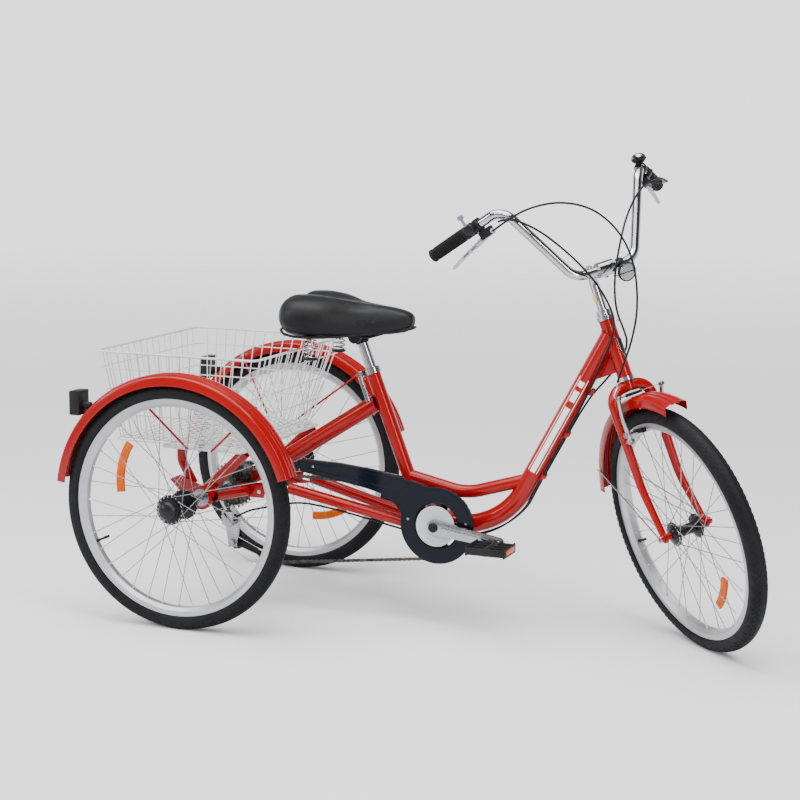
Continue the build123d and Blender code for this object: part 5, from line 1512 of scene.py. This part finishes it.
# ---- front brake ----
def build_brake_arm(name, side):
    """One front brake arm with its shoe; gives back where its cable is clamped."""
    y = side * BLADE_Y
    low = V_PIVOT_AHEAD
    build = Build()
    eye = ring(0, 0.0090, 0.0043, 0.0090)
    build.add(lathe(eye, 32), STEERED @ pointing(on_head(V_PIVOT_UP, low, y), HEAD_FORWARD), 0)
    bolt = [(0.0090, 0.0060), (0.0105, 0.0060), (0.0112, 0.0048)]
    build.add(turned(bolt, 6), STEERED @ pointing(on_head(V_PIVOT_UP, low, y), HEAD_FORWARD), 1)
    line = [on_head(V_PIVOT_UP + 0.004, low + 0.0045, y),
            on_head(V_PIVOT_UP + 0.030, low + 0.0055, y + side * 0.0020),
            on_head(V_PIVOT_UP + 0.060, low + 0.0080, y + side * 0.0030),
            on_head(V_PIVOT_UP + 0.084, low + 0.0170, y + side * 0.0050),
            on_head(V_PIVOT_UP + 0.104, low + 0.0260, y + side * 0.0060)]
    build.add(tube([STEERED @ p for p in line], [0.0062, 0.0056, 0.0052, 0.0048, 0.0050], 16))
    clamp = [(-0.0062, 0.0052), (0.0062, 0.0052), (0.0075, 0.0040)]
    tip = STEERED @ line[-1]
    build.add(turned(clamp, 20), pointing(tip, STEERED.to_3x3() @ HEAD_FORWARD), 1)
    pad_in = side * PAD_IN
    middle = on_head(PAD_UP, low + 0.0045, pad_in + side * 0.0055)
    shoe = STEERED @ frame_at(middle, HEAD_FORWARD, (0, side, 0))
    build.add(block(0.052, 0.0105, 0.0060), shoe @ move((0, 0, -0.0022)), 2)
    build.add(block(0.046, 0.0080, 0.0040), shoe @ move((0, 0, 0.0024)), 2)
    stud = [STEERED @ on_head(PAD_UP, low + 0.0045, pad_in + side * 0.0090),
            STEERED @ on_head(PAD_UP, low + 0.0045, y + side * 0.0085)]
    build.add(tube(stud, 0.0033, 12), None, 1)
    washer = [(-0.0020, 0.0070), (0.0016, 0.0070), (0.0024, 0.0052)]
    build.add(turned(washer, 24), pointing(stud[1], stud[1] - stud[0]), 1)
    spring_at = on_head(V_PIVOT_UP, low - 0.0002, y)
    spring = [STEERED @ (spring_at + HEAD_UP * 0.008), STEERED @ on_head(V_PIVOT_UP + 0.058,
              low + 0.002, y + side * 0.0085)]
    build.add(tube(spring, 0.0007, 6), None, 1)
    build.done("brake_arm_" + name, [ALLOY, STEEL, PLASTIC], "v_brake_arm_" + name,
               ["v_brake_arm_" + name], bevel=0.0007)
    return tip


def build_noodle(right_tip, left_tip):
    """The bent guide pipe from the cable to the right arm and the bellows to the left arm."""
    start = Vector(FRONT_BRAKE_ROUTE[-1])
    build = Build()
    reach = left_tip - right_tip
    bend = [start, start + Vector((0.001, -0.004, -0.014)), right_tip - reach * 0.12
            + Vector((0, 0, 0.008)), right_tip + Vector((0, 0, 0.001)), right_tip + reach * 0.16]
    build.add(tube(rounded(bend, 0.012, 6), 0.0022, 12))
    boot_from = right_tip + reach * 0.16
    boot_to = right_tip + reach * 0.54
    folds = []
    radii = []
    for i in range(25):
        share = i / 24
        folds.append(boot_from.lerp(boot_to, share))
        radii.append(0.0026 + 0.0022 * (i % 2) * (1 - 0.4 * share))
    build.add(tube(folds, radii, 14), None, 1)
    build.add(tube([boot_to, left_tip], 0.0008, 8), None, 2)
    build.done("brake_noodle", [CHROME, PLASTIC, STEEL], "steering")


def build_front_axle_trim():
    """Domed axle nuts on the fork's ends."""
    build = Build()
    place = STEERED @ move(FRONT_AXLE)
    for side in (-1, 1):
        nut = [(0.0600, 0.0053), (0.0600, 0.0086), (0.0684, 0.0086), (0.0690, 0.0080),
               (0.0690, 0.0053)]
        build.add(lathe([(side * y, r) for y, r in nut], 6), place)
    build.done("axle_nuts", [CHROME], "steering", bevel=0.0006)


# ---- frame trim ----
def patch(start, end, radius, from_angle, to_angle, thickness, toward, steps=16, shape=None):
    """A thin label wrapped on a tube: angles are measured round it from the direction toward."""
    start, end = Vector(start), Vector(end)
    axis = (end - start).normalized()
    face = Vector(toward)
    face = (face - axis * face.dot(axis)).normalized()
    side = axis.cross(face)
    rows = 12
    verts = []
    for level in (radius, radius + thickness):
        for i in range(rows + 1):
            share = i / rows
            narrow = shape(share) if shape else 1.0
            middle = (from_angle + to_angle) / 2
            for k in range(steps + 1):
                angle = middle + (to_angle - from_angle) * narrow * (k / steps - 0.5)
                out = face * cos(angle) + side * sin(angle)
                verts.append(start.lerp(end, share) + out * level)
    width = steps + 1
    layer = (rows + 1) * width
    faces = []
    for i in range(rows):
        for k in range(steps):
            a = i * width + k
            faces.append((layer + a, layer + a + 1, layer + a + width + 1, layer + a + width))
            faces.append((a + width, a + width + 1, a + 1, a))
    border = ([k for k in range(width)] + [i * width + steps for i in range(1, rows + 1)]
              + [rows * width + k for k in range(steps - 1, -1, -1)]
              + [i * width for i in range(rows - 1, 0, -1)])
    for a, b in zip(border, border[1:] + border[:1]):
        faces.append((a, b, layer + b, layer + a))
    return verts, faces


def build_labels():
    """Plain stripes on the down tube and a blank shield on the head tube."""
    build = Build()
    lower, upper = Vector((0.788, 0, 0.3905)), Vector((0.926, 0, 0.6495))
    run = upper - lower
    for side in (-1, 1):
        for share, length, half, centre in ((0.02, 0.62, 0.30, 0.0), (0.70, 0.10, 0.30, 0.0),
                                            (0.84, 0.05, 0.30, 0.0), (0.02, 0.90, 0.035, 0.52),
                                            (0.02, 0.90, 0.035, -0.52)):
            start = lower + run * share
            build.add(patch(start, start + run * length, DOWN_R + LABEL_GAP, centre - half, centre + half,
                            0.00022, (0, side, 0), 12))
    build.done("tube_stripes", [WHITE_DECAL], "frame", angle=40)
    badge = Build()
    low = HEAD_TOP - HEAD_UP * 0.100
    high = HEAD_TOP - HEAD_UP * 0.046

    def shield(share):
        return sin(pi * min(0.06 + share * 0.72, 0.5)) ** 0.7 if share < 0.61 else 1.0

    badge.add(patch(low, high, HEAD_R + LABEL_GAP, -0.72, 0.72, SHIELD_T, HEAD_FORWARD, 16, shield))
    badge.add(patch(low.lerp(high, 0.10), low.lerp(high, 0.92), HEAD_R + SHIELD_T + LABEL_GAP,
                    -0.56, 0.56, 0.0005, HEAD_FORWARD, 16, shield), None, 1)
    badge.done("head_shield", [CHROME, BLACK], "frame", bevel=0.0002)


def build_frame_trim():
    """Cable guides under the down tube, and weld beads where the tubes meet."""
    build = Build()
    along = (DOWN_TOP - DOWN_CORNER).normalized()
    below = Vector((along.z, 0, -along.x))
    for share in (0.30, 0.52, 0.74):
        at = DOWN_CORNER.lerp(DOWN_TOP, share) + below * 0.0232
        for side in (-1, 1):
            guide = ring(-0.007, 0.007, 0.0031, 0.0046)
            centre = at + below * 0.0032 + Vector((0, side * 0.010, 0))
            build.add(lathe(guide, 20), pointing(centre, along), 0)
    build.done("cable_guides", [RED], "frame", bevel=0.0004)
    beads = Build()
    seat_axis = Vector((-cos(SEAT_ANGLE), 0, sin(SEAT_ANGLE)))
    for at, axis, onto, radius, base_r in (
            (STAY_TOP, STAY_FOOT - STAY_TOP, seat_axis, 0.0212, SEAT_TUBE_R),
            (DOWN_TOP, DOWN_CORNER - DOWN_TOP, HEAD_UP, 0.0227, HEAD_R)):
        beads.add(weld(at, axis, onto, radius, base_r))
    beads.done("weld_beads", [RED], "frame", angle=60)


def weld(at, axis, onto, radius, base_r):
    """A rippled bead where a tube of one radius meets another tube that runs along onto."""
    axis = Vector(axis).normalized()
    onto = Vector(onto).normalized()
    face = axis - onto * axis.dot(onto)
    face.normalize()
    side = onto.cross(face)
    first = axis.orthogonal().normalized()
    second = axis.cross(first)
    line = []
    radii = []
    for i in range(96):
        angle = 2 * pi * i / 96
        start = Vector(at) + (first * cos(angle) + second * sin(angle)) * radius
        offset = (start - Vector(at)).dot(side)
        depth = sqrt(max(base_r ** 2 - min(abs(offset), base_r) ** 2, 1e-10))
        travel = (depth - (start - Vector(at)).dot(face)) / axis.dot(face)
        line.append(start + axis * travel)
        radii.append(0.0020 + 0.0006 * (i % 2))
    return tube(line, radii, 8, closed=True)


def build_ties():
    """Black ties that hold the cables together where they cross."""
    for name, at, toward in (("tie_high", Vector((0.9985, -0.0765, 0.880)), (0.1, 0.1, 1)),
                             ("tie_low", Vector((0.996, -0.028, 0.772)), (0.1, 0.5, -1))):
        build = Build()
        loop = [polar(0.0042, 2 * pi * i / 24) for i in range(24)]
        build.add(tube(loop, 0.0009, 8, closed=True), pointing(at, toward))
        build.add(block(0.0034, 0.0030, 0.0034), pointing(at, toward)
                  @ move((0.0048, 0, 0)))
        build.done(name, [PLASTIC], "steering", bevel=0.0003)


# ---- cables ----
def spline_curve(name, route, radius):
    """A curve whose control points are the route's points."""
    curve = bpy.data.curves.new(name, "CURVE")
    curve.dimensions = "3D"
    curve.resolution_u = 10
    curve.bevel_depth = radius
    curve.bevel_resolution = 4
    curve.use_fill_caps = True
    spline = curve.splines.new("NURBS")
    spline.points.add(len(route) - 1)
    for point, place in zip(spline.points, route):
        point.co = (*place, 1)
    spline.order_u = 3
    spline.use_endpoint_u = True
    return new_object(name, curve)


def spline_points(route):
    """Points read from the route's smooth line."""
    line = spline_curve("line", route, 0.0)
    mesh = evaluated_mesh(line)
    points = [v.co.copy() for v in mesh.vertices]
    bpy.data.objects.remove(line)
    bpy.data.meshes.remove(mesh)
    return points


def line_length(points):
    """The length of a line of points."""
    return sum((b - a).length for a, b in zip(points, points[1:]))


def build_cables():
    """The three cables: the front brake cable hangs on the steering, the other two are fixed tubes along
    their routes.
    """
    front = spline_curve("front_brake_line", FRONT_BRAKE_ROUTE, CABLE_R)
    front.data.materials.append(MATERIALS["cable_housing"])
    settle(front, "steering", ["front_brake_cable"])
    length = line_length(spline_points(FRONT_BRAKE_ROUTE))
    for name, route in (("rear_brake_line", REAR_BRAKE_ROUTE), ("shift_line", SHIFT_ROUTE)):
        points = spline_points(route)
        build = Build()
        build.add(tube(points, CABLE_R, 16))
        cable = build.done(name, [MATERIALS["cable_housing"]], None, angle=60)
        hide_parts("frame_cables")
        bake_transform(cable)


# ---- light, floor and camera ----
def build_camera():
    """The camera, turned towards its target."""
    away = Vector((sin(CAMERA_YAW) * cos(CAMERA_PITCH),
                   -cos(CAMERA_YAW) * cos(CAMERA_PITCH), sin(CAMERA_PITCH)))
    data = bpy.data.cameras.new("camera")
    data.lens = CAMERA_LENS
    data.sensor_width = 36
    data.clip_end = 200
    camera = new_object("camera", data)
    turn = (-away).to_track_quat("-Z", "Y").to_matrix().to_4x4()
    place = move(CAMERA_TARGET + away * CAMERA_DISTANCE)
    camera.matrix_world = place @ turn @ Matrix.Rotation(CAMERA_ROLL, 4, "Z")
    scene.camera = camera


def soft_box(name, at, target, size, power):
    """A large rectangular light."""
    data = bpy.data.lights.new(name, "AREA")
    data.shape = "RECTANGLE"
    data.size, data.size_y = size
    data.energy = power
    light = new_object(name, data)
    light.location = at
    light.rotation_euler = (Vector(target) - Vector(at)).to_track_quat("-Z", "Y").to_euler()


def fade_out(material, near, far):
    """Let the floor melt into the backdrop with distance from the middle of the set."""
    tree = material.node_tree
    where = tree.nodes.new("ShaderNodeTexCoord").outputs["Object"]
    length = tree.nodes.new("ShaderNodeVectorMath")
    length.operation = "LENGTH"
    tree.links.new(where, length.inputs[0])
    share = spread(tree, length.outputs["Value"], 0.0, 1.0, near, far)
    clear = tree.nodes.new("ShaderNodeBsdfTransparent")
    mix = tree.nodes.new("ShaderNodeMixShader")
    tree.links.new(share, mix.inputs[0])
    tree.links.new(tree.nodes["Principled BSDF"].outputs[0], mix.inputs[1])
    tree.links.new(clear.outputs[0], mix.inputs[2])
    tree.links.new(mix.outputs[0], tree.nodes["Material Output"].inputs["Surface"])


def ramp_along(tree, direction, low, high, dark, bright):
    """A colour that goes from dark to bright as the view turns towards a direction."""
    where = tree.nodes.new("ShaderNodeTexCoord").outputs["Generated"]
    dot = tree.nodes.new("ShaderNodeVectorMath")
    dot.operation = "DOT_PRODUCT"
    dot.inputs[1].default_value = direction
    tree.links.new(where, dot.inputs[0])
    ramp = tree.nodes.new("ShaderNodeValToRGB")
    tree.links.new(spread(tree, dot.outputs["Value"], 0.0, 1.0, low, high), ramp.inputs[0])
    ramp.color_ramp.elements[0].color = (*dark, 1)
    ramp.color_ramp.elements[1].color = (*bright, 1)
    return ramp.outputs["Color"]


def light_the_sky(tree):
    """A pale sweep behind the tricycle, with a dimmer studio overhead and in front of it."""
    sweep = ramp_along(tree, SWEEP_TOWARDS, -0.25, 0.55, (0.24, 0.24, 0.25), (0.94, 0.94, 0.975))
    height = ramp_along(tree, (0, 0, 1), 0.10, 0.40, (1, 1, 1), (0.16, 0.16, 0.16))
    both = tree.nodes.new("ShaderNodeMix")
    both.data_type = "RGBA"
    both.blend_type = "MULTIPLY"
    both.inputs["Factor"].default_value = 1.0
    tree.links.new(sweep, both.inputs["A"])
    tree.links.new(height, both.inputs["B"])
    background = tree.nodes["Background"]
    tree.links.new(both.outputs["Result"], background.inputs["Color"])
    background.inputs["Strength"].default_value = BACKDROP


def build_studio():
    """The floor, the backdrop and the lights."""
    mesh = bpy.data.meshes.new("floor")
    corners = [(x * FLOOR_REACH, y * FLOOR_REACH, 0) for x, y in ((-1, -1), (1, -1), (1, 1), (-1, 1))]
    mesh.from_pydata(corners, [], [(0, 1, 2, 3)])
    floor = new_object("floor", mesh)
    material = surface("floor_paper", (0.80, 0.80, 0.82), (0.78, 0.78, 0.80), (0.60, 0.75),
                       patch=0.6, grain=60, bump=0.02, specular=0.2)
    fade_out(material, *FLOOR_FADE)
    mesh.materials.append(material)
    world = bpy.data.worlds.new("studio")
    world.use_nodes = True
    light_the_sky(world.node_tree)
    scene.world = world
    sun = bpy.data.lights.new("overhead", "SUN")
    sun.energy = OVERHEAD
    sun.angle = SUN_SPREAD
    lamp = new_object("overhead", sun)
    lamp.rotation_euler = SUN_TURN
    for box in SOFT_BOXES:
        soft_box(*box)


# ---- the scene ----
build_camera()
build_cables()
build_studio()
dress_cad()
for wheel in WHEELS:
    build_tyre(wheel)
build_wheel_trim("front", FRONT_FLANGE_R, FRONT_FLANGE_Y)
for wheel, _ in SIDES:
    build_wheel_trim(wheel, REAR_FLANGE_R, REAR_FLANGE_Y)
for reflector in REFLECTORS:
    build_wheel_reflectors(*reflector)
build_hub_caps()
build_rear_fenders()
build_front_fender()
build_rear_lamps()
build_rack()
build_basket()
build_saddle()
build_saddle_trim()
build_springs()
build_chain()
build_chainring()
build_freewheel()
build_derailleur()
build_cranks()
for pedal, side in SIDES:
    build_pedal(pedal, side)
build_guard()
build_grips()
build_levers()
build_control_trim()
build_shift_lever()
build_bell()
build_front_reflector()
build_stem_trim()
arm_tips = [build_brake_arm(arm, side) for arm, side in SIDES]
build_noodle(*arm_tips)
build_front_axle_trim()
build_labels()
build_frame_trim()
build_ties()
